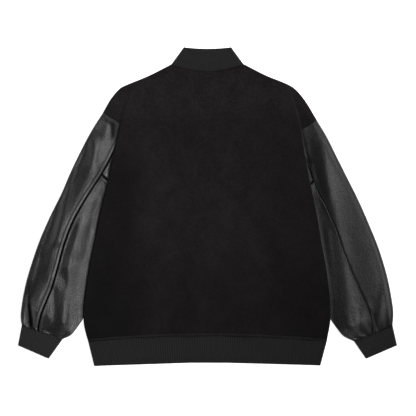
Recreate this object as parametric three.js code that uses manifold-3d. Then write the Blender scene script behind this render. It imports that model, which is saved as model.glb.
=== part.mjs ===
// A varsity jacket laid flat on its front, its back on top, in millimetres.
// Y runs towards the collar and X to the right; the underside rests on Z = 0.
import * as THREE from "three";
import Module from "manifold-3d";
import { mergeVertices } from "three/addons/utils/BufferGeometryUtils.js";

// Cloth walls and the spaces between them
const WOOL = 3;
const LEATHER = 2;
const RIB = 3;
const SEAM = 0.3;
const REST = 1;

// Heights of the flat laid layers
const PRESSED_SLEEVE = 9;
const SLEEVE_CROWN = 24;
const SHOULDER_CROWN = 17;
const INNER_RADIUS = 3.3;
const OUTER_RADIUS = 5;
const BACK_MIDDLE = 8;
const PLACKET_BUMP = 2.7;
const FOLD_RADIUS = 2.2;
const HEM_EDGE_TOP = 8.6;
const CUFF_TOP = 9.2;
const SLEEVE_END_TOP = 9.5;

// How far the layers take to rise, fall or run out
const SLANT = 0.9;
const PRESSED_REACH = 40;
const CROWN_START = 3;
const CROWN_REACH = 48;
const CROWN_Y = 230;
const CROWN_RUN = 120;
const RIM_REACH = 45;
const RIM_Y = 232;
const RIM_RUN = 60;
const TUCK_RUN = 45;
const TUCK_DEPTH = 14;
const TUCK_SLOPE = 16;
const LEAST_FOLD = 11;
const FOLD_NEED = 4;
const FLAT_FOLD_Y = -230;
const FLAT_FOLD_RUN = 100;
const FLAT_FOLD_IN = 4.5;
const EDGE_RISE = 75;
const EDGE_FLAT = 8;
const CORNER_Y = 310;
const CORNER_RUN = 25;
const STEP_TOP_Y = 299;
const STEP_RUN = 80;
const STEP_REACH = 9;
const STEP_SHARE = 0.6;
const LAP_WIDE = 30;
const LAP_RUN = 20;
const LAP_Y = 240;

// The raised placket under the middle of the back, and the soft waves of the lower back
const PLACKET_HALF = 20;
const PLACKET_FADE = 45;
const PLACKET_TOP_Y = 270;
const PLACKET_RUN = 50;
const WAVE_HIGH = 0.9;
const WAVE_LONG = 17;
const WAVE_SHIFT = 30;
const WAVE_MIDDLE = 0.3;
const WAVE_TOP_Y = -60;
const WAVE_RUN = 160;
const WAVE_END_Y = -345;
const WAVE_END_RUN = 30;

// Front closing
const OVERLAP = 15;
const RAMP_START = OVERLAP + 1;
const OVERLAP_STEP = 12;
const NECK_DEPTH = 285;
const NECK_HALF = 87;
const NECK_TOP = 350;
const NECK_CURVE = 2.2;

// Rib knit
const RIB_HEIGHT = 0.8;
const HEM_RIBS = 98;
const CUFF_RIBS = 16;
const COLLAR_RIBS = 28;

// Snap caps
const SNAP_RADIUS = 7.5;
const SNAP_THICK = 1;
const SNAP_ROOM = 0.3;
const SNAP_SIDES = 16;
const SNAP_CHAMFER = 0.6;
const SEAT_BELOW = 1;
const SNAP_Y = [262, 152, 42, -68, -178, -288];

// Outlines of each side in [x, y], x measured outwards from the middle
const ARMPIT = [150, 40];
const LEFT = {
  sign: -1,
  shoulder: [[87.1, 350], [144.3, 320.8], [196.3, 299.3], [212.6, 291.5], [235.3, 266.8], [256.1, 231.7]],
  armhole: [[256.1, 231.7], [235.5, 218], [214.5, 203.8], [190, 178], [168, 130], [154, 75], ARMPIT],
  edge: [[77.1, 350], [134, 321], [186.6, 299.3], [195, 278.5], [204.8, 246], [214.5, 207], [219, 181],
    [234, 116], [247, 51], [262.6, -14], [275.6, -79], [288.6, -144], [299, -209], [304.4, -262],
    [303.5, -290], [298, -315], [293, -332], [290, -345]],
  outer: [[256.1, 231.7], [284.1, 187.5], [313.3, 132.3], [338, 80.3], [357.5, 34.8], [384.8, -20.5],
    [410.8, -79], [430.3, -134.2], [446.6, -189.5], [456.3, -241.5], [458.9, -270.7], [456.3, -292.2]],
  inner: [ARMPIT, [189, -39], [228, -118], [267, -197], [305.5, -276], [320, -298], [335, -316],
    [355.6, -326]],
  seam: [[190, 215], [205, 188], [232, 135.5], [264.6, 73.8], [300.3, 18.5], [329.6, -33.5],
    [352.3, -92], [366.6, -144], [381.6, -196], [407.6, -261], [417.3, -300], [423, -330]],
  cuff: { outer: [465.5, -340.3], inner: [389.4, -373.4] },
};
const RIGHT = {
  sign: 1,
  shoulder: [[88.4, 350], [141.7, 322.7], [193.7, 301.3], [213.2, 290.2], [239.2, 260.3], [268.5, 212.2]],
  armhole: [[268.5, 212.2], [251, 201.5], [234, 190.8], [205, 165], [175, 120], [156, 70], ARMPIT],
  edge: [[78.4, 350], [131.7, 322.7], [184, 300], [206, 278.5], [218, 246], [228.5, 207], [231.4, 181],
    [240.5, 116], [253.5, 51], [267.2, -14], [278.2, -79], [289.9, -144], [299, -209], [302.4, -262],
    [300.5, -290], [296, -315], [292.8, -332], [290, -345]],
  outer: [[268.5, 212.2], [291.2, 174.5], [317.2, 122.5], [343.2, 70.5], [369.2, 18.5], [395.2, -40],
    [421.2, -105], [440.7, -170], [452.4, -228.5], [456.3, -261], [454.5, -292.2]],
  inner: [ARMPIT, [188, -39], [226, -118], [264, -197], [301.6, -276], [317, -299], [333, -318],
    [359.5, -331.2]],
  seam: [[195, 210], [215, 165], [244.4, 106.3], [265.2, 51], [291.2, -1], [314, -53], [330.2, -98.5],
    [356.2, -163.5], [379, -215.5], [398.5, -261], [405, -300], [411, -335]],
  cuff: { outer: [465.5, -340.3], inner: [388.7, -373.4] },
};

const HEM_SEAM_MIDDLE = -317.6;
// Rows of the back from neck to hem: y at the left edge, at the right edge and at the middle
const BACK_ROWS = [
  [350, 350, 332], [336, 337, 324], [321, 322.7, 315], [310, 311, 306], [299.5, 300, 296],
  [288, 287, 284], [275, 272, 270], [260, 252, 253], [245, 232, 237], [231.7, 212.2, 221],
  [219, 203, 208], [209, 195, 199], [197, 181, 186], [180, 164, 170], [155, 142, 147],
  [125, 118, 120], [95, 92, 93], [68, 66, 67], [50, 50, 50], [40, 40, 40], [28, 28, 28],
  [14, 14, 14], [-5, -5, -5], [-40, -40, -38], [-80, -80, -76], [-120, -120, -115],
  [-160, -160, -154], [-198, -198, -190], [-228, -228, -219], [-248, -248, -238],
  [-262, -262, -251], [-274, -274, -263], [-287, -287, -276], [-302, -302, -290],
  [-317, -317, -303.5], [-332, -330.6, HEM_SEAM_MIDDLE],
];
const HEM_BOTTOM = { left: -391.5, right: -390, middle: -383.1, halfLeft: 278.3, halfRight: 277.4 };

// Soft ridges of cloth on each sleeve from one point to another, x outwards
const SLEEVE_FOLDS = [
  { x1: 324, y1: -56, x2: 288, y2: -116, wide: 12, high: 3 },
  { x1: 350, y1: -138, x2: 336, y2: -262, wide: 10, high: 3 },
  { x1: 367, y1: -215, x2: 341, y2: -296, wide: 10, high: 3.5 },
  { x1: 384, y1: -170, x2: 426, y2: -246, wide: 13, high: 4.5 },
  { x1: 426, y1: -246, x2: 424, y2: -288, wide: 8, high: 3.5 },
  { x1: 330, y1: 60, x2: 300, y2: -20, wide: 16, high: 2 },
];

// Pleats where each sleeve meets its cuff: place across from 0 outside to 1 inside
const CUFF_PLEATS = [
  { across: 0.12, wide: 0.05, high: 3 },
  { across: 0.32, wide: 0.05, high: 4 },
  { across: 0.5, wide: 0.05, high: 3.5 },
  { across: 0.66, wide: 0.05, high: 3 },
  { across: 0.82, wide: 0.05, high: 3 },
];
const PLEAT_REACH = 0.14;

const clamp = (t) => Math.min(1, Math.max(0, t));
const ease = (t) => clamp(t) ** 2 * (3 - 2 * clamp(t));
const mix = (a, b, t) => a + (b - a) * t;
const mixed = (p, q, t) => [mix(p[0], q[0], t), mix(p[1], q[1], t)];

function splineThrough(points) {
  const at = points.map(([x, y]) => new THREE.Vector3(x, y, 0));
  const curve = new THREE.CatmullRomCurve3(at, false, "centripetal");
  return (t) => {
    const p = curve.getPointAt(clamp(t));
    return [p.x, p.y];
  };
}

// x on a curve that runs down in y, carried on straight past its ends
function acrossAt(points) {
  const curve = splineThrough(points);
  const list = Array.from({ length: 241 }, (_, i) => curve(i / 240));
  return (y) => {
    let i = list.findIndex((p) => p[1] <= y);
    if (i < 1) i = i === 0 ? 1 : list.length - 1;
    const [a, b] = [list[i - 1], list[i]];
    return a[0] + ((y - a[1]) * (b[0] - a[0])) / (b[1] - a[1]);
  };
}

function distanceTo(list, x, y) {
  let least = Infinity;
  for (let i = 1; i < list.length; i++) {
    const [ax, ay] = list[i - 1];
    const dx = list[i][0] - ax;
    const dy = list[i][1] - ay;
    const t = clamp(((x - ax) * dx + (y - ay) * dy) / (dx * dx + dy * dy));
    least = Math.min(least, Math.hypot(x - ax - t * dx, y - ay - t * dy));
  }
  return least;
}

for (const side of [LEFT, RIGHT]) {
  const corner = side.armhole[0][1];
  const shoulderX = acrossAt(side.shoulder);
  const armholeX = acrossAt(side.armhole);
  side.edgeX = acrossAt(side.edge);
  side.innerX = acrossAt(side.inner);
  side.seamX = acrossAt(side.seam);
  side.endX = (y) => (y >= corner ? shoulderX(y) : armholeX(y));
  side.armholeAt = splineThrough(side.armhole);
  side.outerAt = splineThrough(side.outer);
  side.innerAt = splineThrough(side.inner);
  const shoulderAt = splineThrough(side.shoulder);
  const steps = Array.from({ length: 41 }, (_, i) => i / 40);
  side.rim = [...steps.map(shoulderAt), ...steps.map(side.outerAt)];
}

// Height of the top of the sleeve, pressed flat where the body lies over it
function sleeveTop(side, x, y) {
  const fromInner = (x - side.innerX(y)) * SLANT;
  const pressed = mix(2 * INNER_RADIUS, PRESSED_SLEEVE, ease(fromInner / PRESSED_REACH));
  const crown = mix(SHOULDER_CROWN, SLEEVE_CROWN, ease((CROWN_Y - y) / CROWN_RUN));
  const rise = ease((x - side.edgeX(y) - CROWN_START) / CROWN_REACH);
  return pressed + (crown - PRESSED_SLEEVE) * rise;
}

// The same, brought down to the jacket's outline
function coverTop(side, x, y) {
  const low = mix(2 * INNER_RADIUS, 2 * OUTER_RADIUS, ease((RIM_Y - y) / RIM_RUN));
  return mix(low, sleeveTop(side, x, y), ease(distanceTo(side.rim, x, y) / RIM_REACH));
}

// A body folded over the sleeve: how far the side seam has come in under it, and where it ends
const tucked = (y) => ease((ARMPIT[1] - y) / TUCK_RUN);
function sideSeamX(side, y) {
  if (y > ARMPIT[1]) return side.endX(y);
  return Math.min(side.innerX(y) - TUCK_DEPTH * tucked(y), side.edgeX(y) - LEAST_FOLD);
}

// Share of the hem seam's slope reached at x on the ground layer
const hemShare = (x, edge) => clamp((x - RAMP_START) / (edge - LEAST_FOLD - RAMP_START));

// Middle height of the cloth that returns under the folded edge
function returnMiddle(side, x, y) {
  const onSleeve = sleeveTop(side, x, y) + REST + WOOL / 2;
  const drop = 1 - ease((x - side.innerX(y) + TUCK_DEPTH) / TUCK_SLOPE);
  return mix(onSleeve, WOOL / 2, y > ARMPIT[1] ? 0 : tucked(y) * drop);
}

// The folded edge of one row: its radius and the top of the cloth over it
function foldOf(side, y) {
  const x = side.edgeX(y) - FOLD_RADIUS - WOOL / 2;
  const under = returnMiddle(side, x, y);
  const plain = under + 2 * FOLD_RADIUS + WOOL / 2;
  if (y > FLAT_FOLD_Y) return { under, radius: FOLD_RADIUS, top: plain };
  const start = foldOf(side, FLAT_FOLD_Y + 1).top;
  const top = mix(start, HEM_EDGE_TOP, ease((FLAT_FOLD_Y - y) / FLAT_FOLD_RUN));
  const low = returnMiddle(side, side.edgeX(y) - FLAT_FOLD_IN, y);
  return { under: low, radius: (top - WOOL / 2 - low) / 2, top };
}

// Top of the back's outer face between the middle and the folded edge
function backTop(side, x, y, edgeTop, plateau) {
  const below = 1 - ease((y - PLACKET_TOP_Y) / PLACKET_RUN);
  const bump = PLACKET_BUMP * (1 - ease((x - PLACKET_HALF) / PLACKET_FADE)) * below;
  const fade = ease((WAVE_TOP_Y - y) / WAVE_RUN) * ease((y - WAVE_END_Y) / WAVE_END_RUN);
  const waves = WAVE_HIGH * (1 + Math.cos((x * side.sign + WAVE_SHIFT) / WAVE_LONG)) * fade;
  const middle = BACK_MIDDLE + bump + waves * ease(x / WAVE_SHIFT + WAVE_MIDDLE);
  return mix(edgeTop, middle, ease((side.edgeX(y) - EDGE_FLAT - x - plateau) / EDGE_RISE));
}

const TOP_COLUMNS = 12;
const TURN_COLUMNS = 5;
const TAIL_COLUMNS = 6;
const TAIL_NEAR = 17;
const TAIL_SHARE = 0.55;

// Middle line of one side of a row of the back, from the middle out round the folded edge
function backHalfRow(side, yEdge, yMiddle) {
  const edge = side.edgeX(yEdge);
  const end = sideSeamX(side, yEdge);
  const folds = end < edge - FOLD_NEED;
  const line = [];
  const fold = folds ? foldOf(side, yEdge) : null;
  const turnX = folds ? edge - fold.radius - WOOL / 2 : edge - EDGE_FLAT;
  const corner = mix(end, turnX, ease((CORNER_Y - yEdge) / CORNER_RUN));
  const yAt = (x) => mix(yMiddle, yEdge, clamp(x / corner) ** 2);
  const opened = ease((STEP_TOP_Y - yEdge) / STEP_RUN);
  const step = opened * (2 * FOLD_RADIUS + WOOL + REST);
  const edgeTop = folds ? fold.top : coverTop(side, turnX, yEdge) + step;
  const plateau = folds ? edge - FOLD_NEED - end : 0;
  for (let i = 0; i < TOP_COLUMNS; i++) {
    const x = (turnX * i) / TOP_COLUMNS;
    line.push([x, yAt(x), backTop(side, x, yAt(x), edgeTop, plateau) - WOOL / 2]);
  }
  if (folds) {
    for (let i = 0; i <= TURN_COLUMNS; i++) {
      const a = (Math.PI * i) / TURN_COLUMNS;
      const z = fold.under + fold.radius * (1 + Math.cos(a));
      line.push([turnX + fold.radius * Math.sin(a), yEdge, z]);
    }
    const tail = turnX - end - SEAM / 2;
    const near = Math.min(TAIL_NEAR, tail * TAIL_SHARE);
    for (let i = 1; i <= TAIL_COLUMNS; i++) {
      const half = TAIL_COLUMNS / 2;
      const along = i <= half ? ((tail - near) * i) / half : tail - near + (near * (i - half)) / half;
      line.push([turnX - along, yEdge, returnMiddle(side, turnX - along, yEdge)]);
    }
    return line;
  }
  const near = ease((LAP_WIDE - end + edge) / LAP_RUN) * ease((LAP_Y - yEdge) / LAP_RUN);
  const raised = (WOOL + SEAM) * near;
  const reach = Math.min(STEP_REACH, (end - turnX) * STEP_SHARE);
  for (let i = 0; i <= TURN_COLUMNS + TAIL_COLUMNS; i++) {
    const t = i / TURN_COLUMNS;
    const far = end - SEAM / 2;
    const x = t <= 1 ? turnX + reach * t : mix(turnX + reach, far, (i - TURN_COLUMNS) / TAIL_COLUMNS);
    const low = coverTop(side, x, yEdge) + raised;
    line.push([x, yAt(x), mix(low, edgeTop, ease(1 - t)) - WOOL / 2]);
  }
  return line;
}

// Points moved out to both faces of a wall along the line's own normals in x and z
function faces(line, thick) {
  const outer = [];
  const inner = [];
  line.forEach(([x, y, z], i) => {
    const a = line[Math.max(0, i - 1)];
    const b = line[Math.min(line.length - 1, i + 1)];
    const ends = i === 0 || i === line.length - 1;
    const rise = ends ? 0 : b[2] - a[2];
    const long = Math.hypot(b[0] - a[0], rise);
    const nx = (-rise / long) * (thick / 2);
    const nz = ((b[0] - a[0]) / long) * (thick / 2);
    outer.push([x + nx, y, z + nz]);
    inner.push([x - nx, y, z - nz]);
  });
  return { outer, inner };
}

// A closed solid between two grids of points; a ring joins its last column to its first
function between(outer, inner, ring = false) {
  const rows = outer.length;
  const columns = outer[0].length;
  const points = [...outer.flat(), ...inner.flat()];
  const at = (layer, i, j) => (layer * rows + i) * columns + (j % columns);
  const index = [];
  const far = (a, b) => Math.hypot(...points[a].map((v, k) => v - points[b][k]));
  const quad = (a, b, c, d) => {
    if (far(a, c) <= far(b, d)) index.push(a, b, c, a, c, d);
    else index.push(a, b, d, b, c, d);
  };
  const spans = ring ? columns : columns - 1;
  for (let i = 0; i < rows - 1; i++) {
    for (let j = 0; j < spans; j++) {
      quad(at(0, i, j), at(0, i, j + 1), at(0, i + 1, j + 1), at(0, i + 1, j));
      quad(at(1, i, j), at(1, i + 1, j), at(1, i + 1, j + 1), at(1, i, j + 1));
    }
  }
  for (let j = 0; j < spans; j++) {
    quad(at(0, 0, j), at(1, 0, j), at(1, 0, j + 1), at(0, 0, j + 1));
    const last = rows - 1;
    quad(at(0, last, j), at(0, last, j + 1), at(1, last, j + 1), at(1, last, j));
  }
  if (!ring) {
    const last = columns - 1;
    for (let i = 0; i < rows - 1; i++) {
      quad(at(0, i, 0), at(0, i + 1, 0), at(1, i + 1, 0), at(1, i, 0));
      quad(at(0, i, last), at(1, i, last), at(1, i + 1, last), at(0, i + 1, last));
    }
  }
  let volume = 0;
  for (let i = 0; i < index.length; i += 3) {
    const [a, b, c] = [points[index[i]], points[index[i + 1]], points[index[i + 2]]];
    volume += a[0] * (b[1] * c[2] - b[2] * c[1]);
    volume += a[1] * (b[2] * c[0] - b[0] * c[2]);
    volume += a[2] * (b[0] * c[1] - b[1] * c[0]);
  }
  if (volume < 0) {
    for (let i = 0; i < index.length; i += 3) {
      [index[i + 1], index[i + 2]] = [index[i + 2], index[i + 1]];
    }
  }
  return { points, index };
}

const group = new THREE.Group();
group.name = "varsity_jacket";

function addMesh(name, solid, color, roughness, metalness = 0) {
  const geometry = new THREE.BufferGeometry();
  geometry.setAttribute("position", new THREE.Float32BufferAttribute(solid.points.flat(), 3));
  geometry.setIndex(solid.index);
  geometry.computeVertexNormals();
  const material = new THREE.MeshStandardMaterial({ color, roughness, metalness });
  material.side = THREE.DoubleSide;
  const mesh = new THREE.Mesh(geometry, material);
  mesh.name = name;
  group.add(mesh);
}
const WOOL_COLOR = 0x2b2a2b;
const LEATHER_COLOR = 0x3a3a3c;
const RIB_COLOR = 0x343434;
const SNAP_COLOR = 0x2a2a2c;

// The back
const backOuter = [];
const backInner = [];
for (const [yLeft, yRight, yMiddle] of BACK_ROWS) {
  const left = backHalfRow(LEFT, yLeft, yMiddle).map(([x, y, z]) => [-x, y, z]);
  const right = backHalfRow(RIGHT, yRight, yMiddle);
  const { outer, inner } = faces([...left.reverse(), ...right.slice(1)], WOOL);
  backOuter.push(outer);
  backInner.push(inner);
}
addMesh("back", between(backOuter, backInner), WOOL_COLOR, 0.95);

// Front neckline: x at a height and its rows
const neckX = (y) => NECK_HALF * clamp((y - NECK_DEPTH) / (NECK_TOP - NECK_DEPTH)) ** (1 / NECK_CURVE);
const NECK_ROWS = [348.6, 340, 327, 314, 303, 294, 288, NECK_DEPTH];
const FRONT_ROWS = [NECK_DEPTH - 1, 268, 250];
const ARMHOLE_ROWS = [0.02, 0.14, 0.26, 0.36, 0.45, 0.54, 0.63, 0.73, 0.83, 0.93];
const FIRST_SIDE_ROW = 19;
const NECK_EDGE_Y = 290;
const NECK_STEP = 1.2;

// A front on the ground, its middle edge at one level or lifted over the other front
function frontHalf(side, lifted) {
  const corner = side.armhole[0][1];
  const tall = corner - ARMPIT[1];
  const rows = [...NECK_ROWS, ...FRONT_ROWS, corner];
  rows.push(...ARMHOLE_ROWS.map((t) => corner - tall * t));
  rows.push(...BACK_ROWS.slice(FIRST_SIDE_ROW).map((row) => row[side.sign < 0 ? 0 : 1]));
  const ramp = [0, 1, 2, 3].map((k) => RAMP_START + (OVERLAP_STEP * k) / 3);
  const columns = lifted ? [-OVERLAP, ...ramp] : [-OVERLAP, RAMP_START];
  const top = [];
  const under = [];
  rows.forEach((y, i) => {
    const neck = neckX(y);
    const end = (y >= corner ? side.endX(y) : sideSeamX(side, y)) - SEAM / 2;
    const last = i === rows.length - 1;
    const count = columns.length + 1;
    const edge = y >= NECK_DEPTH ? neck + SEAM : -OVERLAP;
    const xs = columns.map((x, k) => Math.max(x, edge + k * NECK_STEP));
    xs.push(mix(xs[xs.length - 1], end, 0.5), end);
    const places = y > NECK_EDGE_Y ? xs.map((_, k) => mix(edge, end, k / count)) : xs;
    const line = places.map((x) => {
      const level = lifted ? (WOOL + SEAM) * (1 - ease((x - RAMP_START) / OVERLAP_STEP)) : 0;
      const yHere = last ? mix(HEM_SEAM_MIDDLE, y, hemShare(x, side.edgeX(y))) : y;
      return [x * side.sign, yHere, level];
    });
    top.push(line.map(([x, yy, z]) => [x, yy, z + WOOL]));
    under.push(line);
  });
  return between(top, under);
}

const wasm = await Module();
wasm.setup();

const solidOf = (points, index) =>
  new wasm.Manifold(new wasm.Mesh({
    numProp: 3,
    vertProperties: new Float32Array(points),
    triVerts: new Uint32Array(index),
  }));

// A round seat in the ground face, a little wider and deeper than a snap cap
function seatAt(y) {
  const radius = SNAP_RADIUS + SNAP_ROOM;
  const tall = SNAP_THICK + SNAP_ROOM + SEAT_BELOW;
  const geometry = new THREE.CylinderGeometry(radius, radius, tall, SNAP_SIDES);
  geometry.rotateX(Math.PI / 2);
  geometry.translate(0, y, tall / 2 - SEAT_BELOW);
  geometry.deleteAttribute("normal");
  geometry.deleteAttribute("uv");
  const merged = mergeVertices(geometry);
  return solidOf(merged.attributes.position.array, merged.index.array);
}

// The outer front, with a shallow seat for each snap cap
function cutSeats(solid) {
  let cut = solidOf(solid.points.flat(), solid.index);
  for (const y of SNAP_Y) cut = cut.subtract(seatAt(y));
  const made = cut.getMesh();
  const points = [];
  for (let i = 0; i < made.numVert; i++) {
    points.push(Array.from(made.vertProperties.slice(i * made.numProp, i * made.numProp + 3)));
  }
  return { points, index: Array.from(made.triVerts) };
}
addMesh("front_left", cutSeats(frontHalf(LEFT, false)), WOOL_COLOR, 0.95);
addMesh("front_right", frontHalf(RIGHT, true), WOOL_COLOR, 0.95);

SNAP_Y.forEach((y, i) => {
  const top = SNAP_RADIUS - SNAP_CHAMFER;
  const geometry = new THREE.CylinderGeometry(top, SNAP_RADIUS, SNAP_THICK, SNAP_SIDES);
  geometry.rotateX(Math.PI / 2);
  geometry.translate(0, y, SNAP_THICK / 2);
  const material = new THREE.MeshStandardMaterial({ color: SNAP_COLOR, roughness: 0.4, metalness: 0.6 });
  const mesh = new THREE.Mesh(geometry, material);
  mesh.name = "snap_" + (i + 1);
  group.add(mesh);
});

const FREE_START = 6;
const FREE_RUN = 20;
const FOLD_RIM_RUN = 14;
const freeOfBody = (side, x, y) => ease((x - side.edgeX(y) - FREE_START) / FREE_RUN);

// Soft ridges on the part of a sleeve that shows
function foldHeight(side, x, y) {
  let sum = 0;
  for (const { x1, y1, x2, y2, wide, high } of SLEEVE_FOLDS) {
    const dx = x2 - x1;
    const dy = y2 - y1;
    const t = ((x - x1) * dx + (y - y1) * dy) / (dx * dx + dy * dy);
    const away = Math.hypot(x - x1 - clamp(t) * dx, y - y1 - clamp(t) * dy);
    sum += high * Math.exp(-((away / wide) ** 2));
  }
  return sum * freeOfBody(side, x, y) * ease(distanceTo(side.rim, x, y) / FOLD_RIM_RUN);
}

const STATIONS = [0, 0.045, 0.095, 0.155, 0.22, 0.27, 0.33, 0.39, 0.46, 0.53, 0.6, 0.66, 0.715, 0.765,
  0.81, 0.85, 0.885, 0.92, 0.95, 0.975, 1];
const GUSSET_END = 4;
const FRONT_SEAM = 0.62;
const SLEEVE_COLUMNS = { top: 6, turn: 4, bottom: 2 };
const SEAM_STEPS = 200;
const INNER_LEAD = 1.25;
const ARMHOLE_RUN = 0.35;
const END_RUN = 0.1;
const PLEAT_FADE = 0.03;
const ARMHOLE_ROOM = 0.66;
const CUFF_ROOM = 0.24;

// Plan of a station: a curve from the outer fold of the sleeve to the inner one
function stationPlan(side, f) {
  const outer = side.outerAt(f);
  const inner = side.innerAt(f ** INNER_LEAD);
  const bend = 1 - ease(f / ARMHOLE_RUN);
  return (v) => {
    const straight = mixed(outer, inner, v);
    const base = mixed(side.outerAt(0), side.innerAt(0), v);
    const arm = side.armholeAt(v);
    return [straight[0] + bend * (arm[0] - base[0]), straight[1] + bend * (arm[1] - base[1])];
  };
}

// One station of a sleeve: its upper and its under piece as lists of outer and inner points
function sleeveStation(side, f) {
  const plan = stationPlan(side, f);
  const a = plan(0);
  const b = plan(1);
  const wide = Math.hypot(b[0] - a[0], b[1] - a[1]);
  const end = ease((1 - f) / END_RUN);
  const heightAt = (u) => {
    const [x, y] = plan(u / wide);
    let pleats = 0;
    for (const { across, wide: w, high } of CUFF_PLEATS) {
      pleats += high * Math.exp(-(((u / wide - across) / w) ** 2));
    }
    const reach = ease((1 - f) / PLEAT_FADE) * ease((f - 1 + PLEAT_REACH) / PLEAT_REACH);
    const cover = coverTop(side, x, y) + foldHeight(side, x, y);
    const clear = f > 1 - END_RUN ? freeOfBody(side, x, y) : 0;
    return mix(SLEEVE_END_TOP, cover, end) + pleats * reach * clear;
  };
  let seam = 0.5;
  for (let i = 1; i <= SEAM_STEPS; i++) {
    const [x, y] = plan(i / SEAM_STEPS);
    if (x <= side.seamX(y)) {
      seam = i / SEAM_STEPS;
      break;
    }
  }
  const seamU = clamp(seam) * wide;
  const outerRadius = mix(INNER_RADIUS, OUTER_RADIUS, ease(f / END_RUN));
  const innerRadius = mix(SLEEVE_END_TOP / 2, INNER_RADIUS, end);
  const gap = SEAM / 2;
  const list = (count, run) => Array.from({ length: count + 1 }, (_, i) => run(i / count));
  const turn = (u, radius, way, t) => {
    const z = heightAt(u) / 2;
    return [u + way * radius * Math.sin(Math.PI * t), z * (1 + Math.cos(Math.PI * t))];
  };
  const sectionFrom = (from, turnAt, radius, way, to) => [
    ...list(SLEEVE_COLUMNS.top, (t) => mix(from, turnAt, t)).map((u) => [u, heightAt(u)]),
    ...list(SLEEVE_COLUMNS.turn, (t) => turn(turnAt, radius, way, t)).slice(1),
    ...list(SLEEVE_COLUMNS.bottom, (t) => [mix(turnAt, to, t), 0]).slice(1),
  ];
  const front = wide * FRONT_SEAM;
  const upper = sectionFrom(seamU - gap, outerRadius, outerRadius, -1, front - gap);
  const under = sectionFrom(seamU + gap, wide - innerRadius, innerRadius, 1, front + gap);
  const build = (line, way) => {
    const place = ([u, z]) => {
      const [x, y] = plan(u / wide);
      return [x * side.sign, y, z];
    };
    const inside = line.map(([u, z], i) => {
      const p = line[Math.max(0, i - 1)];
      const q = line[Math.min(line.length - 1, i + 1)];
      const rise = i === 0 || i === line.length - 1 ? 0 : q[1] - p[1];
      const long = Math.hypot(q[0] - p[0], rise);
      return [u + ((way * rise) / long) * LEATHER, z - ((way * (q[0] - p[0])) / long) * LEATHER];
    });
    return { outer: line.map(place), inner: inside.map(place) };
  };
  return { upper: build(upper, -1), under: build(under, 1) };
}

// Moves the points of one station a little towards those of another
function drawn(from, towards, distance) {
  const shift = (list, other) =>
    list.map((p, i) => {
      const q = other[i];
      const long = Math.hypot(q[0] - p[0], q[1] - p[1]);
      return [mix(p[0], q[0], distance / long), mix(p[1], q[1], distance / long), p[2]];
    });
  return { outer: shift(from.outer, towards.outer), inner: shift(from.inner, towards.inner) };
}

function alongStations(stations) {
  const list = [...stations];
  const last = list.length - 1;
  list[0] = drawn(stations[0], stations[1], ARMHOLE_ROOM);
  list[last] = drawn(stations[last], stations[last - 1], CUFF_ROOM);
  return between(list.map((s) => s.outer), list.map((s) => s.inner));
}

const CUFF_START = 0.006;
const CUFF_TURN = 4;

// The cuff ring, ribs on its upper side
function cuffRing(side) {
  const seamOuter = side.outerAt(1);
  const seamInner = side.innerAt(1);
  const radius = CUFF_TOP / 2;
  const outerRows = [];
  const innerRows = [];
  for (const t of [CUFF_START, 0.5, 1]) {
    const o = mixed(seamOuter, side.cuff.outer, t);
    const i = mixed(seamInner, side.cuff.inner, t);
    const wide = Math.hypot(i[0] - o[0], i[1] - o[1]);
    const place = (u, z) => {
      const [x, y] = mixed(o, i, u / wide);
      return [x * side.sign, y, z];
    };
    const outer = [];
    const inner = [];
    const flat = wide - 2 * radius;
    for (let k = 0; k <= 2 * CUFF_RIBS; k++) {
      const u = radius + (flat * k) / (2 * CUFF_RIBS);
      outer.push(place(u, CUFF_TOP + (k % 2) * RIB_HEIGHT));
      inner.push(place(u, CUFF_TOP - RIB));
    }
    const turn = (centre, from) => {
      for (let k = 1; k < CUFF_TURN; k++) {
        const a = from - (Math.PI * k) / CUFF_TURN;
        const small = radius - RIB;
        outer.push(place(centre + radius * Math.cos(a), radius + radius * Math.sin(a)));
        inner.push(place(centre + small * Math.cos(a), radius + small * Math.sin(a)));
      }
    };
    turn(wide - radius, Math.PI / 2);
    for (let k = 0; k <= CUFF_TURN; k++) {
      const u = wide - radius - (flat * k) / CUFF_TURN;
      outer.push(place(u, 0));
      inner.push(place(u, RIB));
    }
    turn(radius, -Math.PI / 2);
    outerRows.push(outer);
    innerRows.push(inner);
  }
  return between(outerRows, innerRows, true);
}

for (const [side, word] of [[LEFT, "left"], [RIGHT, "right"]]) {
  const stations = STATIONS.map((f) => sleeveStation(side, f));
  const upper = stations.map((s) => s.upper);
  const under = stations.map((s) => s.under);
  addMesh("sleeve_" + word + "_upper", alongStations(upper), LEATHER_COLOR, 0.45);
  addMesh("sleeve_" + word + "_gusset", alongStations(under.slice(0, GUSSET_END + 1)), LEATHER_COLOR, 0.45);
  addMesh("sleeve_" + word + "_under", alongStations(under.slice(GUSSET_END)), LEATHER_COLOR, 0.45);
  addMesh("cuff_" + word, cuffRing(side), RIB_COLOR, 0.9);
}

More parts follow.
